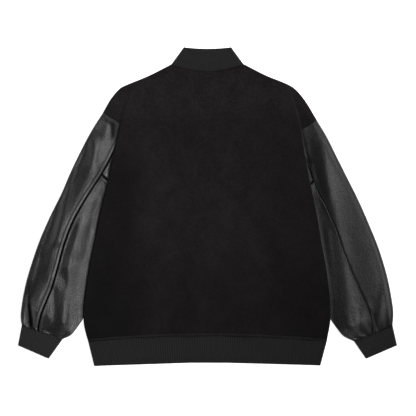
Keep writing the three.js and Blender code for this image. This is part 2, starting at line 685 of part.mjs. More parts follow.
// The hem band: from the left front's overlap round the back to the right front's
const HEM_LOW_TOP = 8;
const [hemSeamLeft, hemSeamRight] = BACK_ROWS[BACK_ROWS.length - 1];
const hemOuter = [];
const hemInner = [];
for (const t of [0, 1]) {
  const left = mix(LEFT.edgeX(hemSeamLeft), HEM_BOTTOM.halfLeft, t);
  const right = mix(RIGHT.edgeX(hemSeamRight), HEM_BOTTOM.halfRight, t);
  const yLeft = mix(hemSeamLeft - SEAM, HEM_BOTTOM.left, t);
  const yRight = mix(hemSeamRight - SEAM, HEM_BOTTOM.right, t);
  const yMiddle = mix(HEM_SEAM_MIDDLE - SEAM, HEM_BOTTOM.middle, t);
  const edgeTop = mix(HEM_EDGE_TOP, HEM_LOW_TOP, t);
  const radius = (edgeTop - RIB) / 2;
  const turnLeft = left - radius - RIB / 2;
  const turnRight = right - radius - RIB / 2;
  const line = [];
  const raise = [];
  const put = (x, z, onTop, rib = 0) => {
    const corner = x < 0 ? yLeft : yRight;
    const reach = x < 0 ? turnLeft : turnRight;
    const full = x < 0 ? left : right;
    const share = onTop ? clamp(Math.abs(x) / reach) ** 2 : hemShare(Math.abs(x), full);
    line.push([x, mix(yMiddle, corner, share), z]);
    raise.push(rib);
  };
  const low = RIB / 2;
  for (const x of [OVERLAP, -RAMP_START, LEAST_FOLD - left]) put(x, low, false);
  for (let k = 0; k < TURN_COLUMNS; k++) {
    const a = (Math.PI * k) / TURN_COLUMNS;
    put(-turnLeft - radius * Math.sin(a), low + radius * (1 - Math.cos(a)), false);
  }
  for (let k = 0; k <= 2 * HEM_RIBS; k++) {
    const x = mix(-turnLeft, turnRight, k / (2 * HEM_RIBS));
    const reach = x < 0 ? turnLeft : turnRight;
    const bump = PLACKET_BUMP * (1 - ease((Math.abs(x) - PLACKET_HALF) / PLACKET_FADE));
    const z = mix(BACK_MIDDLE + bump, edgeTop, ease((Math.abs(x) - reach) / EDGE_RISE + 1));
    put(x, z - RIB / 2, true, k % 2);
  }
  for (let k = 1; k <= TURN_COLUMNS; k++) {
    const a = (Math.PI * k) / TURN_COLUMNS;
    put(turnRight + radius * Math.sin(a), low + radius * (1 + Math.cos(a)), false);
  }
  const ramp = [3, 2, 1, 0].map((k) => RAMP_START + (OVERLAP_STEP * k) / 3);
  for (const x of [right - LEAST_FOLD, ...ramp, -OVERLAP]) {
    put(x, low + (RIB + SEAM) * (1 - ease((x - RAMP_START) / OVERLAP_STEP)), false);
  }
  const { outer, inner } = faces(line, RIB);
  hemOuter.push(outer.map(([x, y, z], i) => [x, y, z + raise[i] * RIB_HEIGHT]));
  hemInner.push(inner);
}
addMesh("hem_rib", between(hemOuter, hemInner), RIB_COLOR, 0.9);

// The collar: front ends on the ground, turned over at the sides to the stand at the back
const COLLAR_FRONT_TOP = 335;
const COLLAR_TOP = { half: 58.5, corner: 390.8, middle: 387 };
const COLLAR_BACK = 5.9;
const COLLAR_CROWN = 0.6;
const COLLAR_ROOM = 0.4;
const COLLAR_LEAST_X = 0.5;
const NECK_MIDDLE_Y = 332;
const collarOuter = [];
const collarInner = [];
for (const t of [0, 0.5, 1]) {
  const line = [];
  const raise = [];
  const low = RIB / 2;
  const radius = (COLLAR_BACK - low) / 2;
  const turned = radius + RIB / 2;
  const half = mix(NECK_HALF, COLLAR_TOP.half, t) - turned;
  const cornerY = mix(NECK_TOP + COLLAR_ROOM, COLLAR_TOP.corner, t);
  const frontRows = [...NECK_ROWS].reverse();
  const frontAt = (y) => {
    const x = neckX(y);
    const share = x / NECK_HALF;
    const topX = COLLAR_TOP.half * share;
    const topY = mix(COLLAR_FRONT_TOP, COLLAR_TOP.corner, share ** 2);
    const inward = mix(x, topX, t) - turned * share ** 3;
    return [Math.max(COLLAR_LEAST_X, inward), mix(y + COLLAR_ROOM, topY, t)];
  };
  const front = frontRows.map(frontAt);
  for (const [x, y] of front) line.push([-x, y, low]);
  for (let k = 1; k < TURN_COLUMNS; k++) {
    const a = (Math.PI * k) / TURN_COLUMNS;
    line.push([-half - radius * Math.sin(a), cornerY, low + radius * (1 - Math.cos(a))]);
  }
  line.forEach(() => raise.push(0));
  for (let k = 0; k <= 2 * COLLAR_RIBS; k++) {
    const x = mix(-half, half, k / (2 * COLLAR_RIBS));
    const middle = mix(NECK_MIDDLE_Y + SEAM, COLLAR_TOP.middle, t);
    const z = COLLAR_BACK + COLLAR_CROWN * (1 - (x / half) ** 2);
    line.push([x, mix(middle, cornerY, (x / (half + turned)) ** 2), z]);
    raise.push(k % 2);
  }
  for (let k = 1; k < TURN_COLUMNS; k++) {
    const a = (Math.PI * k) / TURN_COLUMNS;
    line.push([half + radius * Math.sin(a), cornerY, low + radius * (1 + Math.cos(a))]);
  }
  for (const [x, y] of [...front].reverse()) line.push([x, y, low]);
  while (raise.length < line.length) raise.push(0);
  const { outer, inner } = faces(line, RIB);
  collarOuter.push(outer.map(([x, y, z], i) => [x, y, z + raise[i] * RIB_HEIGHT]));
  collarInner.push(inner);
}
addMesh("collar", between(collarOuter, collarInner), RIB_COLOR, 0.9);

export default group;
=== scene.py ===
"""A varsity jacket laid flat on its front, seen from straight above its back.

Lengths in the tables are millimetres, x measured outwards from the middle of the
jacket and y towards the collar. Meshes are made in metres, in the frame's own place.
"""

import math

import bpy
import numpy as np
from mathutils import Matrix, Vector


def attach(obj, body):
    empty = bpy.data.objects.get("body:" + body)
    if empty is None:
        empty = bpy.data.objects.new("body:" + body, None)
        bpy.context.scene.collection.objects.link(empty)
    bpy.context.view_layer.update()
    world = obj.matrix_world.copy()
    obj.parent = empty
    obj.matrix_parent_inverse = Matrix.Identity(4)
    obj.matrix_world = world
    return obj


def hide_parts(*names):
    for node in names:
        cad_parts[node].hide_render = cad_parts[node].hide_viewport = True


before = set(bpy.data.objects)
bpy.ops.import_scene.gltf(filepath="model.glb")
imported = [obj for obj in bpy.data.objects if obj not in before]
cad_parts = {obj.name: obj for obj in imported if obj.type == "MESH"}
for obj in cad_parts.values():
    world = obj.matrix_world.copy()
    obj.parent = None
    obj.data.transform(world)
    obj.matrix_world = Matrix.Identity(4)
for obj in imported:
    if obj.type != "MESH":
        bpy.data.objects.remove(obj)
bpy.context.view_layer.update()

MM = 0.001

# Cloth walls and the heights of the layers
WOOL = 3.0
LEATHER = 2.0
RIB = 3.0
SEAM = 0.3
REST = 1.0
PRESSED_SLEEVE = 9.0
SLEEVE_CROWN = 24.0
SHOULDER_CROWN = 17.0
INNER_RADIUS = 3.3
OUTER_RADIUS = 5.0
BACK_MIDDLE = 8.0
PLACKET_BUMP = 2.7
FOLD_RADIUS = 2.2
HEM_EDGE_TOP = 8.6
CUFF_TOP = 9.2
SLEEVE_END_TOP = 9.5
OVERLAP = 15.0
OVERLAP_STEP = 12.0
NECK_DEPTH = 285.0
NECK_HALF = 87.0
NECK_TOP = 350.0
NECK_CURVE = 2.2
ARMPIT_X, ARMPIT_Y = 150.0, 40.0
HEM_SEAM_MIDDLE = -317.6
HEM_BOTTOM = {"left": -391.5, "right": -390.0, "middle": -383.1, "half_left": 278.3, "half_right": 277.4}

# Detail that the cloth shows
LIP_HIGH = 2.4
LIP_WIDE = 7.0
GROOVE_DEEP = 2.2
GROOVE_WIDE = 3.8
ARMHOLE_LAP = 0.9
ARMHOLE_HIGH = 0.5
RIB_PITCH = 5.7
RIB_HIGH = 0.8
HEM_DEEP = 64.0
COLLAR_DEEP = 50.0
GLOSS = 0.84
STITCH_PITCH = 4.2
THREAD_RADIUS = 0.34
SNAP_THICK = 1.0
SNAP_Y = (262, 152, 42, -68, -178, -288)


class Side:
    """The outlines of one half, in [x, y] with x outwards."""

    def __init__(self, sign, shoulder, armhole, edge, outer, inner, seam, cuff, folds, rise, seam_size,
                 shades, rim_shade):
        self.sign = sign
        self.rise = rise
        self.seam_size = seam_size
        self.corner = armhole[0][1]
        self.shoulder = Spline(shoulder)
        self.armhole = Spline(armhole)
        self.edge = Spline(edge)
        self.outer = Spline(outer)
        self.inner = Spline(inner)
        self.seam = Spline(seam)
        self.cuff = cuff
        self.folds = folds
        self.shades = shades
        self.rim_shade = rim_shade
        steps = np.linspace(0, 1, 41)
        self.rim = np.vstack([self.shoulder.at(steps), self.outer.at(steps)])

    def end_x(self, y):
        """The outline at the shoulder, then the armhole seam."""
        return np.where(y >= self.corner, self.shoulder.x_at(y), self.armhole.x_at(y))


class Spline:
    """A centripetal curve through points that run down in y."""

    def __init__(self, points, fine=24):
        p = np.array(points, float)
        p = np.vstack([2 * p[0] - p[1], p, 2 * p[-1] - p[-2]])
        parts = []
        for a, b, c, d in zip(p[:-3], p[1:-2], p[2:-1], p[3:]):
            da, db, dc = (np.linalg.norm(v) ** 0.5 for v in (b - a, c - b, d - c))
            m0 = ((b - a) / da - (c - a) / (da + db) + (c - b) / db) * db
            m1 = ((c - b) / db - (d - b) / (db + dc) + (d - c) / dc) * db
            t = np.linspace(0, 1, fine, endpoint=False)[:, None]
            parts.append(
                (2 * t**3 - 3 * t**2 + 1) * b + (t**3 - 2 * t**2 + t) * m0
                + (3 * t**2 - 2 * t**3) * c + (t**3 - t**2) * m1
            )
        self.line = np.vstack(parts + [p[-2:-1]])
        gaps = np.linalg.norm(np.diff(self.line, axis=0), axis=1)
        self.share = np.concatenate([[0], np.cumsum(gaps)]) / gaps.sum()
        before = self.line[0] + (self.line[0] - self.line[1]) * 100
        after = self.line[-1] + (self.line[-1] - self.line[-2]) * 100
        self.carried = np.vstack([before, self.line, after])[::-1]

    def at(self, t):
        t = np.clip(t, 0, 1)
        return np.stack([np.interp(t, self.share, self.line[:, k]) for k in (0, 1)], -1)

    def x_at(self, y):
        return np.interp(y, self.carried[:, 1], self.carried[:, 0])


# Soft ridges and troughs of the sleeves: from, to, half width, height
LEFT_FOLDS = [
    (238, 200, 234, 165, 8, -4), (250, 205, 264, 165, 10, -2.5), (282, 155, 272, 70, 14, 4.5),
    (260, 150, 268, 105, 9, -1.5), (300, 150, 330, 60, 12, -2.5), (334, 85, 366, -80, 14, 4.5),
    (372, -20, 392, -90, 12, -2), (285, 10, 312, -110, 16, 3.5), (310, -50, 345, -150, 14, 3.5),
    (400, -130, 424, -215, 14, -3), (418, -110, 436, -175, 10, 2.5), (335, -150, 352, -280, 11, 3),
    (345, -185, 335, -285, 11, -2.5), (376, -205, 374, -290, 9, -2.5), (385, -175, 422, -235, 10, 3),
    (408, -222, 427, -250, 5, 2), (427, -250, 423, -290, 5, 2.5), (438, -225, 436, -290, 7, -3),
]
RIGHT_FOLDS = [
    (285, 150, 296, 10, 18, 2.5), (262, 90, 285, 20, 10, -1), (330, 60, 345, -60, 22, -1.5),
    (350, -50, 338, -80, 12, 1), (291, -60, 304, -250, 10, 2.5), (340, -80, 380, -260, 30, -4.5),
    (395, -100, 410, -170, 25, 1.5), (430, -195, 422, -290, 9, 2.5), (360, -245, 364, -292, 6, 1.5),
    (405, -235, 404, -290, 9, -1.5), (384, -240, 380, -290, 8, 1), (450, -130, 458, -240, 10, -1),
]
# Pleats at the cuff: place across from 0 outside to 1 inside, half width, height
LEFT_PLEATS = [
    (0.07, 0.035, 2.4), (0.18, 0.05, -4.4), (0.3, 0.026, 4.8), (0.36, 0.02, -1.5), (0.47, 0.04, 1.4),
    (0.6, 0.07, -2.0), (0.78, 0.06, 2.0), (0.9, 0.03, -1.0),
]
RIGHT_PLEATS = [
    (0.1, 0.04, 2.2), (0.24, 0.06, 3.4), (0.365, 0.025, -4.0), (0.45, 0.03, 1.4), (0.58, 0.04, 2.6),
    (0.68, 0.03, -1.8), (0.78, 0.045, 2.4), (0.88, 0.03, -1.6),
]

# Painted shade on the leather, in creases, along the body's edge and over broad parts of the sleeves: x1, y1,
# x2, y2, half width, how dark
LEFT_SHADES = [
    (440, -195, 438, -238, 9, 0.45), (437, -240, 434, -294, 7, 0.85), (418, -292, 428, -298, 5, 0.3),
    (228, 200, 231, 172, 8, 0.8), (384, -196, 378, -176, 5, 0.25), (356, -250, 344, -180, 9, 0.2),
    (250, 205, 292, 125, 12, 0.3), (292, 125, 306, 78, 9, 0.25), (400, -150, 425, -225, 13, 0.25),
    (252, 51, 268, -14, 9, 0.4), (268, -14, 276, -50, 8, 0.25), (300, -90, 345, -270, 40, 0.05),
]
RIGHT_SHADES = [
    (240, 178, 236, 160, 6, 0.4), (338, -150, 348, -262, 14, 0.15), (230, 192, 240, 150, 7, 0.85),
    (240, 150, 251, 108, 5, 0.85), (251, 108, 257, 70, 4, 0.7), (260, 30, 273, -14, 6, 0.5),
    (273, -14, 296, -144, 7, 0.5), (296, -144, 307, -262, 7, 0.45), (307, -262, 312, -300, 8, 0.55),
    (340, -268, 350, -290, 10, 0.25), (447, -130, 452, -250, 8, 0.65),
    (350, 40, 390, -250, 45, 0.25), (305, -60, 345, -220, 25, 0.05),
]
# Painted highlights on ridges: x1, y1, x2, y2, half width, how light
LEFT_PAINTED_HIGHLIGHTS = [
    (407, -222, 427, -250, 4.5, 0.4), (427, -250, 423, -294, 4.5, 1.0), (286, 152, 281, 92, 9, 0.12),
    (449, -250, 449, -290, 2.5, 0.4), (401, -262, 408, -292, 5, 0.35), (400, -192, 408, -214, 5, 0.5),
]
RIGHT_PAINTED_HIGHLIGHTS = [(432, -240, 419, -292, 7, 0.5), (366, -247, 369, -290, 6, 0.2), (304, 128, 308, 30, 9, 0.1)]

LEFT = Side(
    sign=-1,
    shoulder=[(87.1, 350), (144.3, 320.8), (196.3, 299.3), (212.6, 291.5), (235.3, 266.8), (256.1, 231.7)],
    armhole=[(256.1, 231.7), (235.5, 218), (214.5, 203.8), (190, 178), (168, 130), (154, 75),
             (ARMPIT_X, ARMPIT_Y)],
    edge=[(77.1, 350), (134, 321), (186.6, 299.3), (195, 278.5), (204.8, 246), (214.5, 207), (219, 181),
          (234, 116), (247, 51), (262.6, -14), (275.6, -79), (288.6, -144), (299, -209), (304.4, -262),
          (303.5, -290), (298, -315), (293, -332), (290, -345)],
    outer=[(256.1, 231.7), (284.1, 187.5), (313.3, 132.3), (338, 80.3), (357.5, 34.8), (384.8, -20.5),
           (410.8, -79), (430.3, -134.2), (446.6, -189.5), (456.3, -241.5), (458.9, -270.7),
           (456.3, -292.2)],
    inner=[(ARMPIT_X, ARMPIT_Y), (189, -39), (228, -118), (267, -197), (305.5, -276), (320, -298),
           (335, -316), (355.6, -326)],
    seam=[(190, 215), (205, 188), (232, 135.5), (264.6, 73.8), (300.3, 18.5), (329.6, -33.5),
          (352.3, -92), (366.6, -144), (381.6, -196), (407.6, -261), (417.3, -300), (423, -330)],
    cuff=((465.5, -340.3), (389.4, -373.4)),
    folds=(LEFT_FOLDS, LEFT_PLEATS),
    rise=45,
    seam_size=1.0,
    shades=(LEFT_SHADES, LEFT_PAINTED_HIGHLIGHTS),
    rim_shade=0.0,
)
RIGHT = Side(
    sign=1,
    shoulder=[(88.4, 350), (141.7, 322.7), (193.7, 301.3), (213.2, 290.2), (239.2, 260.3), (268.5, 212.2)],
    armhole=[(268.5, 212.2), (251, 201.5), (234, 190.8), (205, 165), (175, 120), (156, 70),
             (ARMPIT_X, ARMPIT_Y)],
    edge=[(78.4, 350), (131.7, 322.7), (184, 300), (206, 278.5), (218, 246), (228.5, 207), (231.4, 181),
          (240.5, 116), (253.5, 51), (267.2, -14), (278.2, -79), (289.9, -144), (299, -209), (302.4, -262),
          (300.5, -290), (296, -315), (292.8, -332), (290, -345)],
    outer=[(268.5, 212.2), (291.2, 174.5), (317.2, 122.5), (343.2, 70.5), (369.2, 18.5), (395.2, -40),
           (421.2, -105), (440.7, -170), (452.4, -228.5), (456.3, -261), (454.5, -292.2)],
    inner=[(ARMPIT_X, ARMPIT_Y), (188, -39), (226, -118), (264, -197), (301.6, -276), (317, -299),
           (333, -318), (359.5, -331.2)],
    seam=[(195, 210), (215, 165), (244.4, 106.3), (265.2, 51), (291.2, -1), (314, -53), (330.2, -98.5),
          (356.2, -163.5), (379, -215.5), (398.5, -261), (405, -300), (411, -335)],
    cuff=((465.5, -340.3), (388.7, -373.4)),
    folds=(RIGHT_FOLDS, RIGHT_PLEATS),
    rise=18,
    seam_size=0.5,
    shades=(RIGHT_SHADES, RIGHT_PAINTED_HIGHLIGHTS),
    rim_shade=0.45,
)

# Rows of the back from neck to hem: y at the left edge, at the right edge and at the middle
BACK_ROWS = np.array([
    (350, 350, 332), (336, 337, 324), (321, 322.7, 315), (310, 311, 306), (299.5, 300, 296),
    (288, 287, 284), (275, 272, 270), (260, 252, 253), (245, 232, 237), (231.7, 212.2, 221),
    (219, 203, 208), (209, 195, 199), (197, 181, 186), (180, 164, 170), (155, 142, 147),
    (125, 118, 120), (95, 92, 93), (68, 66, 67), (50, 50, 50), (40, 40, 40), (28, 28, 28),
    (14, 14, 14), (-5, -5, -5), (-40, -40, -38), (-80, -80, -76), (-120, -120, -115),
    (-160, -160, -154), (-198, -198, -190), (-228, -228, -219), (-248, -248, -238),
    (-262, -262, -251), (-274, -274, -263), (-287, -287, -276), (-302, -302, -290),
    (-317, -317, -303.5), (-332, -330.6, HEM_SEAM_MIDDLE),
])
CORNER_ROW = 9
LAST_STEP_ROW = 11
FIRST_FOLD_ROW = 12


def ease(t):
    """0 below 0, 1 above 1 and a smooth step between."""
    t = np.clip(t, 0, 1)
    return t * t * (3 - 2 * t)


def mix(a, b, t):
    return a + (b - a) * t


def bell(t):
    return np.exp(-(t**2))


def off_line(x, y, x1, y1, x2, y2):
    """Distance from a straight line between two points."""
    dx, dy = x2 - x1, y2 - y1
    t = np.clip(((x - x1) * dx + (y - y1) * dy) / (dx * dx + dy * dy), 0, 1)
    return np.hypot(x - x1 - t * dx, y - y1 - t * dy)


def wrinkle(x, y, long, seed):
    """A smooth field of small waves without direction, from a few turned sine waves."""
    rng = np.random.default_rng(seed)
    total = 0
    for _ in range(6):
        a, phase = rng.uniform(0, 2 * math.pi, 2)
        pitch = long * rng.uniform(0.7, 1.4)
        total = total + np.sin((x * np.cos(a) + y * np.sin(a)) * 2 * math.pi / pitch + phase)
    return total / 6


def distance_to(line, x, y):
    least = np.full(np.shape(x), np.inf)
    for a, b in zip(line[:-1], line[1:]):
        d = b - a
        t = np.clip(((x - a[0]) * d[0] + (y - a[1]) * d[1]) / max(d @ d, 1e-9), 0, 1)
        least = np.minimum(least, np.hypot(x - a[0] - t * d[0], y - a[1] - t * d[1]))
    return least


def sleeve_top(side, x, y):
    """Top of the sleeve, pressed flat where the body lies over it."""
    from_inner = (x - side.inner.x_at(y)) * 0.9
    pressed = mix(2 * INNER_RADIUS, PRESSED_SLEEVE, ease(from_inner / 40))
    crown = mix(SHOULDER_CROWN, SLEEVE_CROWN, ease((230 - y) / 120))
    return pressed + (crown - PRESSED_SLEEVE) * ease((x - side.edge.x_at(y) - 3) / 48)


def cover_top(side, x, y):
    low = mix(2 * INNER_RADIUS, 2 * OUTER_RADIUS, ease((232 - y) / 60))
    return mix(low, sleeve_top(side, x, y), ease(distance_to(side.rim, x, y) / side.rise))


def tucked(y):
    return ease((ARMPIT_Y - y) / 45)


def side_seam_x(side, y):
    under = np.minimum(side.inner.x_at(y) - 14 * tucked(y), side.edge.x_at(y) - 11)
    return np.where(y > ARMPIT_Y, side.end_x(y), under)


def hem_share(x, edge):
    return np.clip((x - OVERLAP - 1) / (edge - 11 - OVERLAP - 1), 0, 1)


def return_middle(side, x, y):
    on_sleeve = sleeve_top(side, x, y) + REST + WOOL / 2
    drop = 1 - ease((x - (side.inner.x_at(y) - 14)) / 16)
    return mix(on_sleeve, WOOL / 2, np.where(y > ARMPIT_Y, 0, tucked(y) * drop))


def fold_of(side, y):
    """The body's folded edge at y: its lower level, its radius and its top."""
    edge = float(side.edge.x_at(y))
    under = float(return_middle(side, edge - FOLD_RADIUS - WOOL / 2, y))
    if y > -230:
        return under, FOLD_RADIUS, under + 2 * FOLD_RADIUS + WOOL / 2
    start = fold_of(side, -229)[2]
    top = mix(start, HEM_EDGE_TOP, float(ease((-230 - y) / 100)))
    low = float(return_middle(side, edge - 4.5, y))
    return low, (top - WOOL / 2 - low) / 2, top


def back_top(side, x, y, edge_top, plateau):
    bump = PLACKET_BUMP * (1 - ease((x - 20) / 45)) * (1 - ease((y - 270) / 50))
    fade = ease((-60 - y) / 160) * ease((y + 345) / 30)
    waves = 0.9 * (1 + np.cos((x * side.sign + 30) / 17)) * fade
    middle = BACK_MIDDLE + bump + waves * ease(x / 30 + 0.3)
    return mix(edge_top, middle, ease((side.edge.x_at(y) - 8 - x - plateau) / 75))


TOP_COLUMNS = 108
TURN_COLUMNS = 8
TAIL_COLUMNS = 16


def back_half_row(side, y_edge, y_middle):
    """The middle line of one side of a row of the back, as in the frame's own back."""
    edge = float(side.edge.x_at(y_edge))
    end = float(side_seam_x(side, y_edge))
    folds = end < edge - 4
    under, radius, top = fold_of(side, y_edge) if folds else (0, 0, 0)
    turn_x = edge - radius - WOOL / 2 if folds else edge - 8
    corner = mix(end, turn_x, float(ease((310 - y_edge) / 25)))
    y_at = lambda x: mix(y_middle, y_edge, np.clip(x / corner, 0, 1) ** 2)
    step = float(ease((299 - y_edge) / 80)) * (2 * FOLD_RADIUS + WOOL + REST)
    edge_top = top if folds else float(cover_top(side, turn_x, y_edge)) + step
    plateau = max(0, edge - 4 - end) if folds else 0
    x = turn_x * np.arange(TOP_COLUMNS) / TOP_COLUMNS
    parts = [(x, y_at(x), back_top(side, x, y_at(x), edge_top, plateau) - WOOL / 2)]
    if folds:
        a = np.linspace(0, math.pi, TURN_COLUMNS + 1)
        x = turn_x + radius * np.sin(a)
        parts.append((x, np.full_like(x, y_edge), under + radius * (1 + np.cos(a))))
        tail = turn_x - end - SEAM / 2
        near = min(17, tail * 0.55)
        along = np.interp(np.arange(1, TAIL_COLUMNS + 1), [0, TAIL_COLUMNS / 2, TAIL_COLUMNS],
                          [0, tail - near, tail])
        x = turn_x - along
        parts.append((x, np.full_like(x, y_edge), return_middle(side, x, np.full_like(x, y_edge))))
    else:
        raised = (WOOL + SEAM) * float(ease((30 - (end - edge)) / 20)) * float(ease((240 - y_edge) / 20))
        reach = min(9, (end - turn_x) * 0.6)
        t = np.concatenate([np.linspace(0, 1, TURN_COLUMNS + 1), np.linspace(1, 2, TAIL_COLUMNS + 1)[1:]])
        lapped = y_edge < side.corner - 0.5
        far = end + ARMHOLE_LAP if lapped else end - SEAM / 2
        x = np.where(t <= 1, turn_x + reach * t, mix(turn_x + reach, far, t - 1))
        y = y_at(x)
        low = cover_top(side, x, np.full_like(x, y_edge)) + raised
        if lapped:
            low = low + ARMHOLE_HIGH * ease((x - far + 7) / 4)
        parts.append((x, y, mix(low, edge_top, ease(1 - t)) - WOOL / 2))
    return np.array([np.concatenate([p[k] for p in parts]) for k in range(3)]).T


def faces_of(line, thick):
    """Points on both faces of a wall, moved out along the line's normals in x and z."""
    ahead = np.vstack([line[1:], line[-1:]])
    behind = np.vstack([line[:1], line[:-1]])
    run = ahead[:, 0] - behind[:, 0]
    rise = ahead[:, 2] - behind[:, 2]
    rise[[0, -1]] = 0
    long = np.hypot(run, rise)
    move = np.stack([-rise / long, np.zeros_like(run), run / long], -1) * thick / 2
    return line + move, line - move


def placed(name, data):
    """A new object in the scene that holds the mesh or lamp."""
    thing = bpy.data.objects.new(name, data)
    bpy.context.scene.collection.objects.link(thing)
    return thing


def plain_mesh(name, verts, faces):
    mesh = bpy.data.meshes.new(name)
    mesh.from_pydata(verts, [], faces)
    mesh.validate()
    mesh.shade_smooth()
    return mesh


def grid_mesh(name, outer, inner, ring=False, marks=None):
    """A closed shell between two grids of points in millimetres, with marks per point."""
    outer, inner = np.array(outer), np.array(inner)
    rows, columns = outer.shape[:2]
    points = np.vstack([outer.reshape(-1, 3), inner.reshape(-1, 3)]) * MM
    count = rows * columns
    grid = np.arange(count).reshape(rows, columns)
    if ring:
        grid = np.hstack([grid, grid[:, :1]])
    a, b, c, d = (g.ravel() for g in (grid[:-1, :-1], grid[:-1, 1:], grid[1:, 1:], grid[1:, :-1]))
    quads = [np.stack([a, b, c, d], -1), np.stack([a, d, c, b], -1) + count]
    for first, way in ((grid[0], 1), (grid[-1], -1)):
        p, q = (first[:-1], first[1:]) if way > 0 else (first[1:], first[:-1])
        quads.append(np.stack([p, p + count, q + count, q], -1))
    if not ring:
        for first, way in ((grid[:, 0], -1), (grid[:, -1], 1)):
            p, q = (first[:-1], first[1:]) if way > 0 else (first[1:], first[:-1])
            quads.append(np.stack([p, p + count, q + count, q], -1))
    quads = np.vstack(quads)
    p = points[quads]
    split = np.concatenate([p[:, [0, 1, 2]], p[:, [0, 2, 3]]])
    if np.einsum("ij,ij->", split[:, 0], np.cross(split[:, 1], split[:, 2])) < 0:
        quads = quads[:, ::-1]
    mesh = bpy.data.meshes.new(name)
    mesh.vertices.add(len(points))
    mesh.vertices.foreach_set("co", points.ravel())
    mesh.loops.add(quads.size)
    mesh.loops.foreach_set("vertex_index", np.ascontiguousarray(quads).ravel().astype(np.int32))
    mesh.polygons.add(len(quads))
    mesh.polygons.foreach_set("loop_start", np.arange(0, quads.size, 4, dtype=np.int32))
    mesh.update(calc_edges=True)
    mesh.validate()
    mesh.shade_smooth()
    mesh.set_sharp_from_angle(angle=math.radians(52))
    for key, values in (marks or {}).items():
        layer = mesh.attributes.new(key, "FLOAT", "POINT")
        flat = np.asarray(values, float).ravel()
        layer.data.foreach_set("value", np.concatenate([flat, flat]).astype(np.float32))
    return placed(name, mesh)


# Materials
def new_material(name, base, roughness, sheen=0.0, specular=0.5):
    material = bpy.data.materials.new(name)
    material.use_nodes = True
    nodes = material.node_tree.nodes
    shader = nodes["Principled BSDF"]
    shader.inputs["Base Color"].default_value = (*base, 1)
    shader.inputs["Roughness"].default_value = roughness
    shader.inputs["Sheen Weight"].default_value = sheen
    shader.inputs["Specular IOR Level"].default_value = specular
    return material, nodes, material.node_tree.links, shader


def noise(nodes, links, scale, detail=3.0, rough=0.55, stretch=None):
    where = nodes.new("ShaderNodeTexCoord")
    texture = nodes.new("ShaderNodeTexNoise")
    texture.inputs["Scale"].default_value = scale
    texture.inputs["Detail"].default_value = detail
    texture.inputs["Roughness"].default_value = rough
    if stretch:
        mapping = nodes.new("ShaderNodeMapping")
        mapping.inputs["Scale"].default_value = stretch
        links.new(where.outputs["Object"], mapping.inputs["Vector"])
        links.new(mapping.outputs["Vector"], texture.inputs["Vector"])
    else:
        links.new(where.outputs["Object"], texture.inputs["Vector"])
    return texture.outputs["Fac"]


def math_node(nodes, links, operation, *values):
    node = nodes.new("ShaderNodeMath")
    node.operation = operation
    for socket, value in zip(node.inputs, values):
        if isinstance(value, (int, float)):
            socket.default_value = value
        else:
            links.new(value, socket)
    return node.outputs[0]


def colour_between(nodes, links, factor, dark, light):
    ramp = nodes.new("ShaderNodeValToRGB")
    ramp.color_ramp.elements[0].color = (*dark, 1)
    ramp.color_ramp.elements[1].color = (*light, 1)
    links.new(factor, ramp.inputs["Fac"])
    return ramp


def shaded(nodes, links, colour, mark, dark):
    """The colour brought to another one where the mark is 1."""
    attribute = nodes.new("ShaderNodeAttribute")
    attribute.attribute_name = mark
    blend = nodes.new("ShaderNodeMix")
    blend.data_type = "RGBA"
    links.new(attribute.outputs["Fac"], blend.inputs["Factor"])
    links.new(colour, blend.inputs[6])
    blend.inputs[7].default_value = (*dark, 1)
    return blend.outputs[2]


def matt_in_marks(nodes, links, shader, mark, specular, pebbles):
    """Gloss that varies with the grain and is gone where the mark is 1."""
    attribute = nodes.new("ShaderNodeAttribute")
    attribute.attribute_name = mark
    spread = nodes.new("ShaderNodeMapRange")
    spread.inputs["To Min"].default_value = specular
    spread.inputs["To Max"].default_value = 0.0
    links.new(attribute.outputs["Fac"], spread.inputs["Value"])
    gloss = nodes.new("ShaderNodeMapRange")
    gloss.inputs["From Min"].default_value = 0.35
    gloss.inputs["From Max"].default_value = 0.65
    gloss.inputs["To Min"].default_value = 0.62
    gloss.inputs["To Max"].default_value = 1.38
    links.new(pebbles, gloss.inputs["Value"])
    product = math_node(nodes, links, "MULTIPLY", spread.outputs["Result"], gloss.outputs["Result"])
    links.new(product, shader.inputs["Specular IOR Level"])


def bump(nodes, links, shader, height, strength, distance):
    node = nodes.new("ShaderNodeBump")
    node.inputs["Strength"].default_value = strength
    node.inputs["Distance"].default_value = distance
    links.new(height, node.inputs["Height"])
    links.new(node.outputs["Normal"], shader.inputs["Normal"])


def wool_material():
    material, nodes, links, shader = new_material("wool", (0.0135, 0.0122, 0.0126), 0.95, 0.07, 0.1)
    shader.inputs["Sheen Roughness"].default_value = 0.6
    shader.inputs["Sheen Tint"].default_value = (0.5, 0.45, 0.47, 1)
    fibre = noise(nodes, links, 900, 4, 0.7)
    tuft = noise(nodes, links, 330, 2, 0.6)
    cloud = noise(nodes, links, 28, 3, 0.6)
    patch = noise(nodes, links, 120, 3, 0.65)
    mixed = math_node(nodes, links, "ADD", math_node(nodes, links, "MULTIPLY", fibre, 0.2),
                      math_node(nodes, links, "MULTIPLY", cloud, 0.2))
    mixed = math_node(nodes, links, "ADD", mixed, math_node(nodes, links, "MULTIPLY", tuft, 0.38))
    mixed = math_node(nodes, links, "ADD", mixed, math_node(nodes, links, "MULTIPLY", patch, 0.22))
    ramp = colour_between(nodes, links, mixed, (0.0068, 0.0057, 0.0061), (0.0231, 0.0201, 0.0213))
    ramp.color_ramp.elements[0].position = 0.4
    ramp.color_ramp.elements[1].position = 0.6
    # The dark mark mixes in painted shade: seam grooves, armhole edges, darker sides and hem
    links.new(shaded(nodes, links, ramp.outputs["Color"], "dark", (0.002, 0.002, 0.002)),
              shader.inputs["Base Color"])
    bump(nodes, links, shader, fibre, 0.55, 0.0005)
    return material


